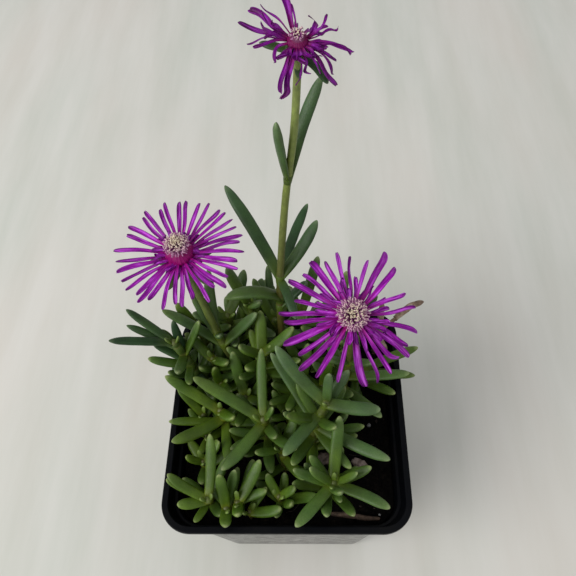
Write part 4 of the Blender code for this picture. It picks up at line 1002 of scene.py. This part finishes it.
def stamen_skins(shape, bloom, place, count, lift, draw, wilt=0.0):
    """Thin threads that spread from the middle of the flower, each with a small pale grain at its end."""
    reach = bloom.stamen_reach * MM
    foot = petals_top(bloom) - 0.3 * MM + lift
    golden = math.pi * (3 - math.sqrt(5))
    for index in range(count):
        share = (index + 0.5) / count
        lean = math.radians(STAMEN_SPREAD) * share ** 0.62 + draw.uniform(-0.09, 0.09)
        turn = golden * index + draw.uniform(-0.25, 0.25)
        out = Vector((math.cos(turn), math.sin(turn), 0))
        root = out * (0.34 * reach * math.sqrt(share)) + Vector((0, 0, foot))
        length = reach * draw.uniform(0.72, 1.02) * (0.92 - 0.08 * share)
        head = out * (math.sin(lean) * length) + Vector((0, 0, foot + math.cos(lean) * length * 0.7))
        bend = root.lerp(head, 0.5) + Vector((0, 0, 0.14 * length)) + out * draw.uniform(-0.4, 0.4) * MM
        points = [root, root.lerp(bend, 0.6), bend, bend.lerp(head, 0.55), head]
        points = [place @ point for point in points]
        rings = tube_rings(points, [0.17 * MM, 0.16 * MM, 0.14 * MM, 0.13 * MM, 0.12 * MM], 4)
        tone = draw.random()
        shape.loft(rings, [0.0, 0.3, 0.5, 0.75, 1.0], [0.0] * 4, tone, 0)
        loose = Vector((draw.uniform(-1, 1), draw.uniform(-1, 1), draw.uniform(-0.6, 0.6)))
        axis = ((points[-1] - points[-2]).normalized() + (2.2 - 1.4 * share) * loose).normalized()
        size = draw.uniform(0.9, 1.5) * MM * (1 - 0.35 * wilt)
        bead(shape, points[-1], axis, size, share)


def calyx_skin(shape, bloom, stem_size, draw, shade):
    """The green cup under a flower, with its fleshy sepals."""
    place = flower_matrix(bloom)
    top = calyx_top()
    stations = (
        (stem_size * 1.1, 1.15), (stem_size * 1.45, 0.9), (CUP_RADIUS * 0.86, 0.6), (CUP_RADIUS, 0.3),
        (CUP_RADIUS * 0.97, 0.1), (CUP_RADIUS * 0.8, 0.0),
    )
    rings = []
    for radius, depth in stations:
        z = top - depth * CUP_DEPTH
        turns = turns_around(CUP_SIDES)
        rings.append([place @ Vector((radius * math.cos(a), radius * math.sin(a), z)) for a in turns])
    shape.loft(rings, [0.1] * len(rings), [0.0] * CUP_SIDES, shade)
    for sepal in bloom.sepals:
        leaf, start = sepal_leaf(sepal)
        leaf_skin(shape, leaf, start, draw, shade, place=place)


class Tree:
    """A material's nodes, made one after another."""

    def __init__(self, name, roughness):
        self.material = bpy.data.materials.new(name)
        self.material.use_nodes = True
        self.nodes = self.material.node_tree.nodes
        self.links = self.material.node_tree.links
        self.surface = self.nodes["Principled BSDF"]
        self.surface.inputs["Roughness"].default_value = roughness

    def put(self, value, socket):
        if isinstance(value, bpy.types.NodeSocket):
            self.links.new(value, socket)
        elif isinstance(value, (tuple, list)) and len(value) == 3 and socket.type == "RGBA":
            socket.default_value = (*value, 1.0)
        else:
            socket.default_value = value

    def attribute(self, name):
        node = self.nodes.new("ShaderNodeAttribute")
        node.attribute_name = name
        return node.outputs["Fac"]

    def coordinates(self, scale=(1, 1, 1)):
        node = self.nodes.new("ShaderNodeTexCoord")
        stretch = self.nodes.new("ShaderNodeMapping")
        stretch.inputs["Scale"].default_value = scale
        self.links.new(node.outputs["Object"], stretch.inputs["Vector"])
        return stretch.outputs["Vector"]

    def combined(self, x, y, z):
        node = self.nodes.new("ShaderNodeCombineXYZ")
        for value, socket in zip((x, y, z), node.inputs):
            self.put(value, socket)
        return node.outputs["Vector"]

    def noise(self, scale, detail=2.0, roughness=0.5, where=None):
        node = self.nodes.new("ShaderNodeTexNoise")
        node.inputs["Scale"].default_value = scale
        node.inputs["Detail"].default_value = detail
        node.inputs["Roughness"].default_value = roughness
        self.links.new(where or self.coordinates(), node.inputs["Vector"])
        return node.outputs["Fac"]

    def cells(self, scale):
        node = self.nodes.new("ShaderNodeTexVoronoi")
        node.inputs["Scale"].default_value = scale
        self.links.new(self.coordinates(), node.inputs["Vector"])
        return node.outputs["Distance"]

    def sums(self, kind, first, second=0.0):
        node = self.nodes.new("ShaderNodeMath")
        node.operation = kind
        for value, socket in zip((first, second), node.inputs):
            self.put(value, socket)
        return node.outputs["Value"]

    def spread(self, value, low, high, new_low=0.0, new_high=1.0):
        node = self.nodes.new("ShaderNodeMapRange")
        for given, socket in zip((value, low, high, new_low, new_high), node.inputs):
            self.put(given, socket)
        return node.outputs["Result"]

    def ramp(self, value, stops):
        node = self.nodes.new("ShaderNodeValToRGB")
        self.put(value, node.inputs["Fac"])
        marks = node.color_ramp.elements
        while len(marks) < len(stops):
            marks.new(0.5)
        for mark, (at, colour) in zip(marks, stops):
            mark.position = at
            mark.color = (*colour, 1.0)
        return node.outputs["Color"]

    def mix(self, share, first, second, kind="MIX"):
        node = self.nodes.new("ShaderNodeMix")
        node.data_type = "RGBA"
        node.blend_type = kind
        self.put(share, node.inputs["Factor"])
        self.put(first, node.inputs[6])
        self.put(second, node.inputs[7])
        return node.outputs[2]

    def bump(self, height, distance, strength):
        node = self.nodes.new("ShaderNodeBump")
        node.inputs["Strength"].default_value = strength
        node.inputs["Distance"].default_value = distance
        self.links.new(height, node.inputs["Height"])
        self.links.new(node.outputs["Normal"], self.surface.inputs["Normal"])

    def colour(self, value):
        self.put(value, self.surface.inputs["Base Color"])

    def setting(self, name, value):
        self.put(value, self.surface.inputs[name])

    def patches(self, scale, detail, low, high, new_low, new_high):
        """Noise, brought from one range of values to another."""
        return self.spread(self.noise(scale, detail), low, high, new_low, new_high)

    def shaded(self, base, shade):
        """The colour base, darker or lighter by a shade around 1."""
        self.colour(self.mix(1.0, base, self.combined(shade, shade, shade), "MULTIPLY"))

    def soft(self, weight, radius, scale):
        self.setting("Subsurface Weight", weight)
        self.setting("Subsurface Radius", radius)
        self.setting("Subsurface Scale", scale)


def leaf_material():
    """Green by the tone: yellowish, bluish or dark, and pale where the leaf is young; paler at both ends,
    with large lighter patches of painted light.
    """
    tree = Tree("leaf_skin", 0.5)
    along, tone = tree.attribute("along"), tree.attribute("tone")
    green = tree.ramp(along, [(0.0, (0.130, 0.155, 0.009)), (0.2, (0.055, 0.103, 0.004)),
                              (0.7, (0.052, 0.110, 0.007)), (0.92, (0.095, 0.165, 0.025)),
                              (1.0, (0.28, 0.34, 0.12))])
    bluish = tree.ramp(along, [(0.0, (0.085, 0.130, 0.015)), (0.2, (0.055, 0.105, 0.022)),
                               (0.7, (0.060, 0.118, 0.042)), (0.92, (0.088, 0.150, 0.060)),
                               (1.0, (0.20, 0.28, 0.14))])
    dark = tree.ramp(along, [(0.0, (0.06, 0.10, 0.015)), (0.3, (0.022, 0.058, 0.016)),
                             (0.9, (0.026, 0.066, 0.024)), (1.0, (0.09, 0.14, 0.07))])
    young = tree.ramp(along, [(0.0, (0.14, 0.18, 0.012)), (0.5, (0.11, 0.18, 0.02)),
                              (1.0, (0.20, 0.28, 0.08))])
    base = tree.mix(tree.spread(tone, 0.0, 0.95), green, bluish)
    # Large noise patches mixed towards a lighter yellow-green: painted light, some leaves coloured as if lit
    # more than others.
    base = tree.mix(tree.patches(45, 2.0, 0.5, 0.68, 0.0, 0.55), base, (0.11, 0.175, 0.012))
    base = tree.mix(tree.spread(tone, 1.0, 1.2), base, dark)
    base = tree.mix(tree.spread(tone, -0.3, -0.2, 1.0, 0.0), base, young)
    mottle = tree.patches(140, 3.0, 0.3, 0.7, 0.70, 1.15)
    grains = tree.patches(2600, 2.0, 0.35, 0.65, 0.86, 1.1)
    tree.shaded(base, tree.sums("MULTIPLY", mottle, grains))
    tree.setting("Roughness", tree.patches(900, 2.0, 0.3, 0.7, 0.34, 0.48))
    tree.bump(tree.cells(2300), 0.00006, 0.5)
    tree.soft(0.1, (0.5, 0.9, 0.1), 0.0015)
    tree.setting("Specular IOR Level", 0.26)
    return tree.material


def stem_material():
    """Green or brown by the tone, and paler towards the stem's top."""
    tree = Tree("stem_skin", 0.5)
    along = tree.attribute("along")
    green = tree.ramp(along, [(0.0, (0.09, 0.085, 0.02)), (0.15, (0.085, 0.12, 0.018)),
                              (1.0, (0.12, 0.18, 0.03))])
    brown = tree.ramp(along, [(0.0, (0.08, 0.06, 0.015)), (0.3, (0.075, 0.068, 0.010)),
                              (0.5, (0.09, 0.105, 0.015)), (0.7, (0.14, 0.18, 0.028)),
                              (1.0, (0.20, 0.25, 0.06))])
    base = tree.mix(tree.attribute("tone"), green, brown)
    tree.shaded(base, tree.patches(500, 3.0, 0.3, 0.7, 0.8, 1.2))
    tree.bump(tree.noise(1500, 2.0), 0.00008, 0.6)
    tree.soft(0.1, (0.6, 0.8, 0.2), 0.001)
    return tree.material


def petal_material(name, stops, pale, edge):
    """Colours along the petal, with pale streaks of painted satin sheen and an edge that is darker by a
    share.
    """
    tree = Tree(name, 0.42)
    along, across, tone = (tree.attribute(key) for key in ("along", "across", "tone"))
    base = tree.ramp(along, stops)
    streaks = tree.noise(1.0, 3.0, 0.6, tree.combined(
        tree.sums("MULTIPLY", across, 1.5), tree.sums("MULTIPLY", along, 2.2),
        tree.sums("MULTIPLY", tone, 37.0)))
    # Where the streaks are high the petal turns towards the colour pale: a painted satin highlight, the sheen
    # drawn into the colour.
    painted_sheen = tree.sums("MULTIPLY", tree.spread(streaks, 0.5, 0.62), tree.spread(along, 0.12, 0.45))
    base = tree.mix(tree.sums("MULTIPLY", painted_sheen, 0.85), base, pale)
    base = tree.mix(tree.spread(streaks, 0.36, 0.48, 0.75, 0.0), base, (0.09, 0.001, 0.12))
    rim = tree.spread(tree.sums("ABSOLUTE", across), 0.45, 1.0, 0.0, edge)
    base = tree.mix(rim, base, (0.09, 0.001, 0.11))
    base = tree.mix(tree.spread(along, -0.02, -0.5), base, (0.42, 0.20, 0.30))
    tree.shaded(base, tree.spread(tone, 0.0, 1.0, 0.8, 1.25))
    tree.setting("Roughness", tree.spread(streaks, 0.3, 0.7, 0.36, 0.52))
    tree.bump(streaks, 0.00012, 0.7)
    tree.soft(0.15, (1.0, 0.2, 1.0), 0.001)
    tree.setting("Specular IOR Level", 0.2)
    return tree.material


def dry_material(name):
    """A dry, uneven surface: three colours mottled by noise, with each piece's tone shifting them."""
    dark, middle, light, scale, bump_size = DRY_SURFACES[name]
    tree = Tree(name, 0.8)
    tone = tree.attribute("tone")
    spots = tree.noise(scale, 4.0, 0.6)
    blend = tree.sums("ADD", tree.spread(spots, 0.35, 0.65), tree.spread(tone, 0.0, 1.0, -0.3, 0.3))
    tree.colour(tree.ramp(blend, [(0.0, dark), (0.55, middle), (1.0, light)]))
    tree.bump(tree.noise(scale * 2, 4.0, 0.65), bump_size, 0.8)
    return tree.material


def pot_material(name, dust, smoothest, roughest, gloss):
    """Black plastic with patches of thin dust."""
    tree = Tree(name, 0.4)
    dusty = tree.spread(tree.noise(60, 5.0, 0.65), 0.45, 0.8)
    tree.colour(tree.mix(dusty, (0.002, 0.0025, 0.0038), (dust, dust, dust)))
    tree.setting("Roughness", tree.patches(220, 3.0, 0.3, 0.7, smoothest, roughest))
    tree.bump(tree.noise(3200, 2.0), 0.00003, 0.35)
    tree.setting("Specular IOR Level", gloss)
    return tree.material


def pot_ring(half, corner, z):
    """Points around a rounded square, with a few along its straight sides."""
    arcs = []
    for quarter, (x, y) in enumerate(((1, 1), (-1, 1), (-1, -1), (1, -1))):
        centre = Vector((x * (half - corner), y * (half - corner), z))
        turns = [math.pi / 2 * (quarter + step / CORNER_SIDES) for step in range(CORNER_SIDES + 1)]
        arcs.append([centre + corner * Vector((math.cos(a), math.sin(a), 0)) for a in turns])
    points = []
    for arc, after in zip(arcs, [*arcs[1:], arcs[0]]):
        points += arc
        points += [arc[-1].lerp(after[0], share) for share in (0.03, 0.35, 0.65, 0.97)]
    return points


def eased(points):
    """The line through points, with its corners rounded and a point close before and after each."""
    found = [points[0]]
    for before, here, after in zip(points, points[1:], points[2:]):
        first = here + (before - here).normalized() * min(EDGE_ROUND, (before - here).length * 0.4)
        last = here + (after - here).normalized() * min(EDGE_ROUND, (after - here).length * 0.4)
        found.append(first.lerp(before, 0.02))
        for step in range(EDGE_STEPS + 1):
            t = step / EDGE_STEPS
            found.append(first.lerp(here, t).lerp(here.lerp(last, t), t))
        found.append(last.lerp(after, 0.02))
    return [*found, points[-1]]


def pot_piece():
    """The pot with evenly rounded corners and edges, and its drain holes."""
    collar_foot = POT_HEIGHT - COLLAR_DEPTH
    collar_inside = collar_foot + WALL
    lip_foot = POT_HEIGHT - LIP_DEPTH
    inner_rim_corner = RIM_CORNER - LIP_OVERHANG - WALL
    profile = [
        (BASE_WIDTH / 2 - UNDERSIDE_INSET, BASE_CORNER - UNDERSIDE_INSET, 0.0),
        (BASE_WIDTH / 2, BASE_CORNER, 0.0),
        (wall_width(collar_foot) / 2, wall_corner(collar_foot), collar_foot),
        (wall_width(collar_foot) / 2 + COLLAR_STEP, wall_corner(collar_foot) + COLLAR_STEP, collar_foot),
        (wall_width(lip_foot) / 2 + COLLAR_STEP, wall_corner(lip_foot), lip_foot),
        (RIM_WIDTH / 2, RIM_CORNER, lip_foot),
        (RIM_WIDTH / 2, RIM_CORNER, POT_HEIGHT),
        (inside_width(POT_HEIGHT) / 2, inner_rim_corner, POT_HEIGHT),
        (inside_width(collar_inside + EDGE_ROUND) / 2, wall_corner(collar_inside), collar_inside),
        (inside_width(collar_inside) / 2, wall_corner(collar_inside) - WALL, collar_inside),
        (inside_width(WALL) / 2, wall_corner(WALL) - WALL, WALL),
        (inside_width(WALL) / 2 - UNDERSIDE_INSET, wall_corner(WALL) - WALL - UNDERSIDE_INSET, WALL),
    ]
    shape = Shape()
    smooth = eased([Vector(point) for point in profile])
    rings = [pot_ring(half, max(corner, 0.5 * MM), z) for half, corner, z in smooth]
    shape.loft(rings, [0.0] * len(rings), [0.0] * len(rings[0]), 0.0)
    outer = smooth[:len(smooth) // 2]
    wall_faces = sum(z < collar_foot - EDGE_ROUND for _, _, z in outer) * len(rings[0])
    shape.finishes[:wall_faces] = [1] * wall_faces
    rim_finish = pot_material("black_plastic", dust=0.006, smoothest=0.3, roughest=0.5, gloss=0.08)
    wall_finish = pot_material("glossy_black_plastic", dust=0.03, smoothest=0.14, roughest=0.28, gloss=0.6)
    pot = shape.made("nursery_pot", [rim_finish, wall_finish], "pot", ["pot"])
    drains = Shape()
    for x in (-DRAIN_OFFSET, DRAIN_OFFSET):
        for y in (-DRAIN_OFFSET, DRAIN_OFFSET):
            ends = [Vector((x, y, -WALL)), Vector((x, y, 2 * WALL))]
            drains.loft(tube_rings(ends, [DRAIN_RADIUS] * 2, 24), [0.0, 0.0], [0.0] * 24, 0.5)
    cut(pot, drains)


def cut(piece, shape):
    """Takes the shape's solids out of a piece."""
    cutter = added("cutter", mesh_of("cutter", shape.points, shape.faces))
    change = piece.modifiers.new("cut", "BOOLEAN")
    change.operation = "DIFFERENCE"
    change.solver = "EXACT"
    change.object = cutter
    graph = bpy.context.evaluated_depsgraph_get()
    piece.data = bpy.data.meshes.new_from_object(piece.evaluated_get(graph))
    piece.modifiers.clear()
    bpy.data.objects.remove(cutter)
    piece.data.set_sharp_from_angle(angle=math.radians(35))


def soil_material():
    tree = Tree("potting_soil", 0.95)
    spots = tree.noise(900, 4.0, 0.7)
    tone = tree.attribute("tone")
    blend = tree.sums("ADD", tree.spread(spots, 0.3, 0.7, 0.0, 0.8), tree.spread(tone, 0.0, 1.0, -0.2, 0.2))
    tree.colour(tree.ramp(blend, [(0.0, (0.0008, 0.0008, 0.0008)), (0.5, (0.003, 0.0025, 0.002)),
                                  (0.85, (0.010, 0.007, 0.005)), (1.0, (0.035, 0.026, 0.02))]))
    tree.bump(tree.noise(1800, 4.0, 0.7), 0.0003, 0.9)
    tree.setting("Specular IOR Level", 0.08)
    return tree.material


def squared(half, corner, u, v):
    """A point of a unit square brought to a rounded square."""
    reach = max(abs(u), abs(v))
    if reach == 0:
        return 0.0, 0.0
    x, y = u / reach * half, v / reach * half
    inner = half - corner
    if abs(x) > inner and abs(y) > inner:
        out = Vector((abs(x) - inner, abs(y) - inner)).normalized() * corner
        x, y = math.copysign(inner + out.x, x), math.copysign(inner + out.y, y)
    return x * reach, y * reach


def soil_relief(x, y):
    """The crumbly top of the soil."""
    spot = Vector((x, y, 0))
    rough = 0.9 * MM * noise.noise(spot / (3.1 * MM)) + 0.45 * MM * noise.noise(spot / (1.3 * MM))
    near = noise.voronoi(spot / (2.4 * MM))[0][0]
    return soil_height(x, y) + rough + 0.55 * MM * (0.5 - near) - 0.35 * MM


def soil_piece():
    """The soil down to the pot's floor: its relief as a grid, and its sides and underside."""
    shape = Shape()
    count = SOIL_GRID
    half = inside_width(SOIL_LEVEL) / 2 - TOUCH_GAP
    corner = wall_corner(SOIL_LEVEL) - WALL
    index = {}
    for row in range(count + 1):
        for column in range(count + 1):
            x, y = squared(half, corner, 2 * column / count - 1, 2 * row / count - 1)
            tone = noise.noise(Vector((x, y, 0)) / (5 * MM)) + 0.5
            index[row, column] = shape.point((x, y, soil_relief(x, y)), 0.0, 0.0, tone)
    for row in range(count):
        for column in range(count):
            corners = ((row, column), (row, column + 1), (row + 1, column + 1), (row + 1, column))
            shape.face(tuple(index[corner] for corner in corners), 0)
    floor = WALL + TOUCH_GAP
    edge = [(0, at) for at in range(count)] + [(at, count) for at in range(count)]
    edge += [(count, count - at) for at in range(count)] + [(count - at, 0) for at in range(count)]
    low_half = inside_width(floor) / 2 - TOUCH_GAP
    low_corner = wall_corner(floor) - WALL
    low = []
    for row, column in edge:
        x, y = squared(low_half, low_corner, 2 * column / count - 1, 2 * row / count - 1)
        low.append(shape.point((x, y, floor), 0.0, 0.0, 0.5))
    for at, key in enumerate(edge):
        after = (at + 1) % len(edge)
        shape.face((low[at], low[after], index[edge[after]], index[key]), 0)
    middle = shape.point((0, 0, floor), 0.0, 0.0, 0.5)
    for at in range(len(edge)):
        shape.face((middle, low[(at + 1) % len(edge)], low[at]), 0)
    shape.made("soil_bed", [soil_material()], "soil", ["soil"])


def ball():
    """The corners and faces of an evenly divided ball."""
    long = (1 + math.sqrt(5)) / 2
    points = []
    for a, b in ((1, long), (-1, long), (1, -long), (-1, -long)):
        points += [Vector((0, a, b)), Vector((a, b, 0)), Vector((b, 0, a))]
    points = [point.normalized() for point in points]
    side = min((p - q).length for p in points for q in points if p != q) * 1.05
    faces = []
    for i, j, k in combinations(range(len(points)), 3):
        p, q, r = points[i], points[j], points[k]
        if max((p - q).length, (q - r).length, (r - p).length) < side:
            out = (q - p).cross(r - p).dot(p) > 0
            faces.append((i, j, k) if out else (i, k, j))
    return points, faces


BALL_POINTS, BALL_FACES = ball()


def grain(shape, centre, size, draw, finish=0, squash=(1, 1, 1)):
    """An angular crumb."""
    spin = Matrix.Rotation(draw.uniform(0, 6.28), 3, (draw.random(), draw.random(), draw.random() + 0.1))
    tone = draw.random()
    first = len(shape.points)
    for point in BALL_POINTS:
        reach = size * draw.uniform(0.75, 1.2) / 2
        near = Vector([point[axis] * squash[axis] for axis in range(3)]) * reach
        shape.point(centre + spin @ near, 0.0, 0.0, tone)
    for face in BALL_FACES:
        shape.face(tuple(first + corner for corner in face), finish)


def scattered_place(draw, margin=3 * MM):
    """A drawn place on the soil, kept a margin from the wall."""
    half = inside_width(SOIL_LEVEL) / 2 - margin
    x, y = squared(half, 8 * MM, draw.uniform(-1, 1), draw.uniform(-1, 1))
    return Vector((x, y, soil_relief(x, y)))


def crumbs_piece():
    """Crumbs of soil, grit, white perlite, bits of bark and thin fibres on the soil."""
    shape = Shape()
    draw = random.Random(11)
    for _ in range(CRUMBS):
        size = 0.5 * MM + 1.5 * MM * draw.random() ** 2.2
        grain(shape, scattered_place(draw, 1.5 * MM) + Vector((0, 0, 0.15 * size)), size, draw, 0)
    for _ in range(BARK_BITS):
        size = draw.uniform(1.2, 3.0) * MM
        flat = (1, draw.uniform(0.35, 0.7), draw.uniform(0.2, 0.4))
        grain(shape, scattered_place(draw) + Vector((0, 0, 0.2 * size)), size, draw, 1, flat)
    for x, y, size in PERLITE:
        spot = Vector((x * MM, y * MM, soil_relief(x * MM, y * MM) + 0.3 * MM))
        grain(shape, spot, size * MM, draw, 2)
    for _ in range(FIBRES):
        start = scattered_place(draw) + Vector((0, 0, 0.4 * MM))
        turn, length = draw.uniform(0, 6.28), draw.uniform(3, 8) * MM
        points = [start]
        for _ in range(6):
            turn += draw.uniform(-0.5, 0.5)
            ahead = Vector((math.cos(turn), math.sin(turn), draw.uniform(-0.12, 0.16)))
            points.append(points[-1] + ahead * length / 6)
        if max(abs(value) for value in (*points[-1][:2], *points[3][:2])) > FIBRE_LIMIT:
            continue
        shape.loft(tube_rings(points, [0.09 * MM] * 7, 4), [0.0] * 7, [0.0] * 4, draw.random(), 1)
    finishes = [soil_material(), dry_material("bark_bits"), dry_material("perlite")]
    shape.made("soil_crumbs", finishes, "soil", smooth=False)


def chip_pieces():
    """The rough bark chips and the twig."""
    bark = dry_material("bark")
    draw = random.Random(5)
    for name, chip in CHIPS.items():
        shape = Shape()
        lift = Vector((0, 0, chip_floor(chip) - CHIP_SINK))
        outline = []
        for (x0, y0), (x1, y1) in zip(CHIP_OUTLINE, [*CHIP_OUTLINE[1:], CHIP_OUTLINE[0]]):
            for step in range(5):
                t = step / 5
                jag = draw.uniform(-0.03, 0.03)
                outline.append((x0 + (x1 - x0) * t + jag, y0 + (y1 - y0) * t - jag))
        rings = []
        for share, z in CHIP_LEVELS:
            ring = []
            for x, y in outline:
                where = along_chip(chip, x * share, y * share, z) + lift
                ring.append(where + Vector((0, 0, 0.25 * MM * noise.noise(where / (0.9 * MM)))))
            rings.append(ring)
        shape.loft(rings, [0.5] * len(rings), [0.0] * len(outline), draw.random())
        shape.made(name + "_skin", [bark], "bark", [name], smooth=False)
    shape = Shape()
    lift = Vector((0, 0, chip_floor(TWIG) - TWIG_SINK))
    rings = []
    xs, wides, shifts = zip(*TWIG_STATIONS)
    for step in range(TWIG_RINGS + 1):
        x = -0.5 + step / TWIG_RINGS
        radius, shift = np.interp(x, xs, wides), np.interp(x, xs, shifts)
        radius *= min(1.0, 0.6 + 12 * min(x + 0.5, 0.5 - x))
        ring = []
        for a in turns_around(TWIG_SIDES):
            ridge = 1 + 0.16 * noise.noise(Vector((x * 6, 3 * math.cos(a), 3 * math.sin(a))))
            y, z = shift * 0.5 + radius * ridge * math.cos(a), 0.5 + radius * ridge * math.sin(a)
            ring.append(along_chip(TWIG, x, y, z) + lift)
        rings.append(ring)
    shape.loft(rings, [0.5] * len(rings), [0.0] * TWIG_SIDES, 0.3)
    shape.made("twig_skin", [dry_material("twig_bark")], "bark", ["twig"])


def shoot_pieces(leaf_finish, stem_finish):
    """Every shoot with its stem, the sheaths at its nodes, its leaves, and its bud or its flower's cup."""
    lines, leaves, extra = fitted_leaves()
    for order, (name, shoot) in enumerate({**FLOWER_STEMS, **SHOOTS}.items()):
        draw = random.Random(100 + order)
        shape = Shape()
        nodes = sorted({leaf.height * MM for leaf, _ in leaves[name]})
        tone = TONES.get(name, PLAIN_TONE)
        stem_skin(shape, shoot, nodes, STEM_BROWNS.get(name, draw.uniform(0.0, 0.4)))
        for node in nodes:
            sheath_skin(shape, shoot, node, tone)
        for leaf, start in leaves[name]:
            leaf_skin(shape, leaf, start, draw, tone)
        for leaf, start in extra[name]:
            leaf_skin(shape, leaf, start, draw, min(tone, SIDE_LEAF_TONE))
        if name in FLOWER_STEMS:
            top = lines[name][-1].z
            calyx_skin(shape, BLOOMS[name.split("_")[0]], stem_radius(shoot, top, top), draw, tone)
        else:
            bud_skins(shape, shoot, draw)
        shape.made(name + "_skin", [leaf_finish, stem_finish], "leaf", [name])
    shape = Shape()
    draw = random.Random(3)
    stem_skin(shape, WITHERED_SHOOT, [], 0.5, 0)
    for leaf, start in leaves[WITHERED_NAME]:
        leaf_skin(shape, leaf, start, draw, 0.5, dent=0.5, flat=0.6)
    shape.made(WITHERED_NAME + "_skin", [dry_material("dry_leaf")], "withered", [WITHERED_NAME])


def stamen_materials():
    """For the threads, pink and paler towards their ends, and for the grains, cream to pink by the tone."""
    thread = Tree("stamen_thread", 0.5)
    thread.colour(thread.ramp(thread.attribute("along"), [
        (0.0, (0.26, 0.002, 0.12)), (0.3, (0.28, 0.01, 0.22)), (0.65, (0.40, 0.11, 0.34)),
        (1.0, (0.64, 0.42, 0.5))]))
    grains = Tree("pollen_grain", 0.7)
    outer = grains.ramp(grains.attribute("tone"), [
        (0.0, (0.72, 0.62, 0.44)), (0.25, (0.68, 0.53, 0.47)), (0.6, (0.54, 0.31, 0.42)),
        (1.0, (0.40, 0.15, 0.33))])
    grains.shaded(outer, grains.patches(1500, 2.0, 0.35, 0.65, 0.8, 1.1))
    return [thread.material, grains.material]


def flower_pieces():
    """Each flower's petals with the mound in their middle, and its stamens."""
    # Each petal finish: its colours along the petal, the colour of its painted satin highlight streaks, and
    # how much darker its edge is.
    fresh = petal_material("petal", [(0.0, (0.30, 0.001, 0.11)), (0.18, (0.32, 0.002, 0.22)),
                                     (0.5, (0.28, 0.004, 0.33)), (0.88, (0.23, 0.003, 0.28)),
                                     (1.0, (0.05, 0.001, 0.06))], (0.52, 0.09, 0.66), 0.5)
    wilted = petal_material("wilted_petal", [(0.0, (0.20, 0.001, 0.06)), (0.3, (0.19, 0.002, 0.15)),
                                             (0.6, (0.20, 0.003, 0.25)), (0.82, (0.11, 0.004, 0.11)),
                                             (1.0, (0.035, 0.008, 0.015))], (0.34, 0.035, 0.48), 0.8)
    stamens = stamen_materials()
    for name, bloom in BLOOMS.items():
        draw = random.Random(40 + len(name) * 3)
        wilt, count, lift, mound = HEADS[name]
        place = flower_matrix(bloom)
        withering = name == "tall"
        shape = Shape()
        for petal in bloom.petals:
            petal_skin(shape, petal, place, draw, wilt)
        inner = SHRIVELLED_PETALS if withering else inner_petals(bloom, INNER_REACH[name], draw)
        for petal in inner:
            petal_skin(shape, petal, place, draw, INNER_WILT * wilt)
        foot = petals_top(bloom) - MOUND_DEPTH
        mound_skin(shape, place, mound * MM, foot, max(lift * MM, LEAST_MOUND_HEIGHT))
        finish, slot = (wilted, "withered_petal") if withering else (fresh, "petal")
        shape.made(name + "_petals_skin", [finish], slot, [name + "_petals"])
        shape = Shape()
        stamen_skins(shape, bloom, place, count, lift * MM, draw, wilt)
        shape.made(name + "_stamens_skin", stamens, "stamen", [name + "_stamens"])


def camera():
    down, yaw, roll = (math.radians(value) for value in (CAMERA_DOWN, CAMERA_YAW, CAMERA_ROLL))
    forward = Vector((0, math.cos(down), -math.sin(down)))
    up = Vector((0, math.sin(down), math.cos(down)))
    right = Vector((1, 0, 0))
    right, up = math.cos(roll) * right + math.sin(roll) * up, -math.sin(roll) * right + math.cos(roll) * up
    turned = Matrix.Rotation(yaw, 3, "Z")
    right, up, forward = turned @ right, turned @ up, turned @ forward
    data = bpy.data.cameras.new("camera")
    data.sensor_width = SENSOR
    data.lens = SENSOR * FOCAL_SHARE
    data.clip_start = 0.005
    eye = added("camera", data)
    eye.matrix_world = Matrix.Translation(CAMERA_PLACE) @ Matrix((right, up, -forward)).transposed().to_4x4()
    bpy.context.scene.camera = eye


def window():
    data = bpy.data.lights.new("window", "AREA")
    data.shape = "DISK"
    data.size = WINDOW_SIZE
    data.energy = WINDOW_POWER
    data.color = WINDOW_COLOUR
    away = Vector(WINDOW_PLACE) - Vector(WINDOW_TARGET)
    turned = away.to_track_quat("Z", "Y").to_matrix().to_4x4()
    added("window", data).matrix_world = Matrix.Translation(WINDOW_PLACE) @ turned


def surroundings():
    """The even light of the room, the window and the pale table."""
    scene = bpy.context.scene
    world = bpy.data.worlds.new("room")
    world.use_nodes = True
    background = world.node_tree.nodes["Background"]
    background.inputs["Color"].default_value = ROOM_COLOUR
    background.inputs["Strength"].default_value = ROOM_STRENGTH
    scene.world = world
    scene.view_settings.view_transform = "Standard"
    window()
    tree = Tree("pale_boards", 0.7)
    grainy = tree.noise(1.0, 5.0, 0.6, tree.coordinates((40, 5, 1)))
    clouds = tree.noise(1.0, 2.0, 0.5, tree.coordinates((14, 4, 1)))
    pale = tree.mix(tree.spread(clouds, 0.35, 0.65), (0.60, 0.62, 0.56), (0.67, 0.645, 0.59))
    tree.colour(tree.mix(tree.spread(grainy, 0.35, 0.65, 0.0, 0.6), pale, (0.75, 0.74, 0.70)))
    mesh = mesh_of("table_top", [(-2, -2, 0), (2, -2, 0), (2, 2, 0), (-2, 2, 0)], [(0, 1, 2, 3)])
    mesh.materials.append(tree.material)
    table = added("table_top", mesh)
    table.location.z = -TABLE_GAP


def main():
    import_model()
    camera()
    surroundings()
    pot_piece()
    soil_piece()
    crumbs_piece()
    chip_pieces()
    shoot_pieces(leaf_material(), stem_material())
    flower_pieces()


main()
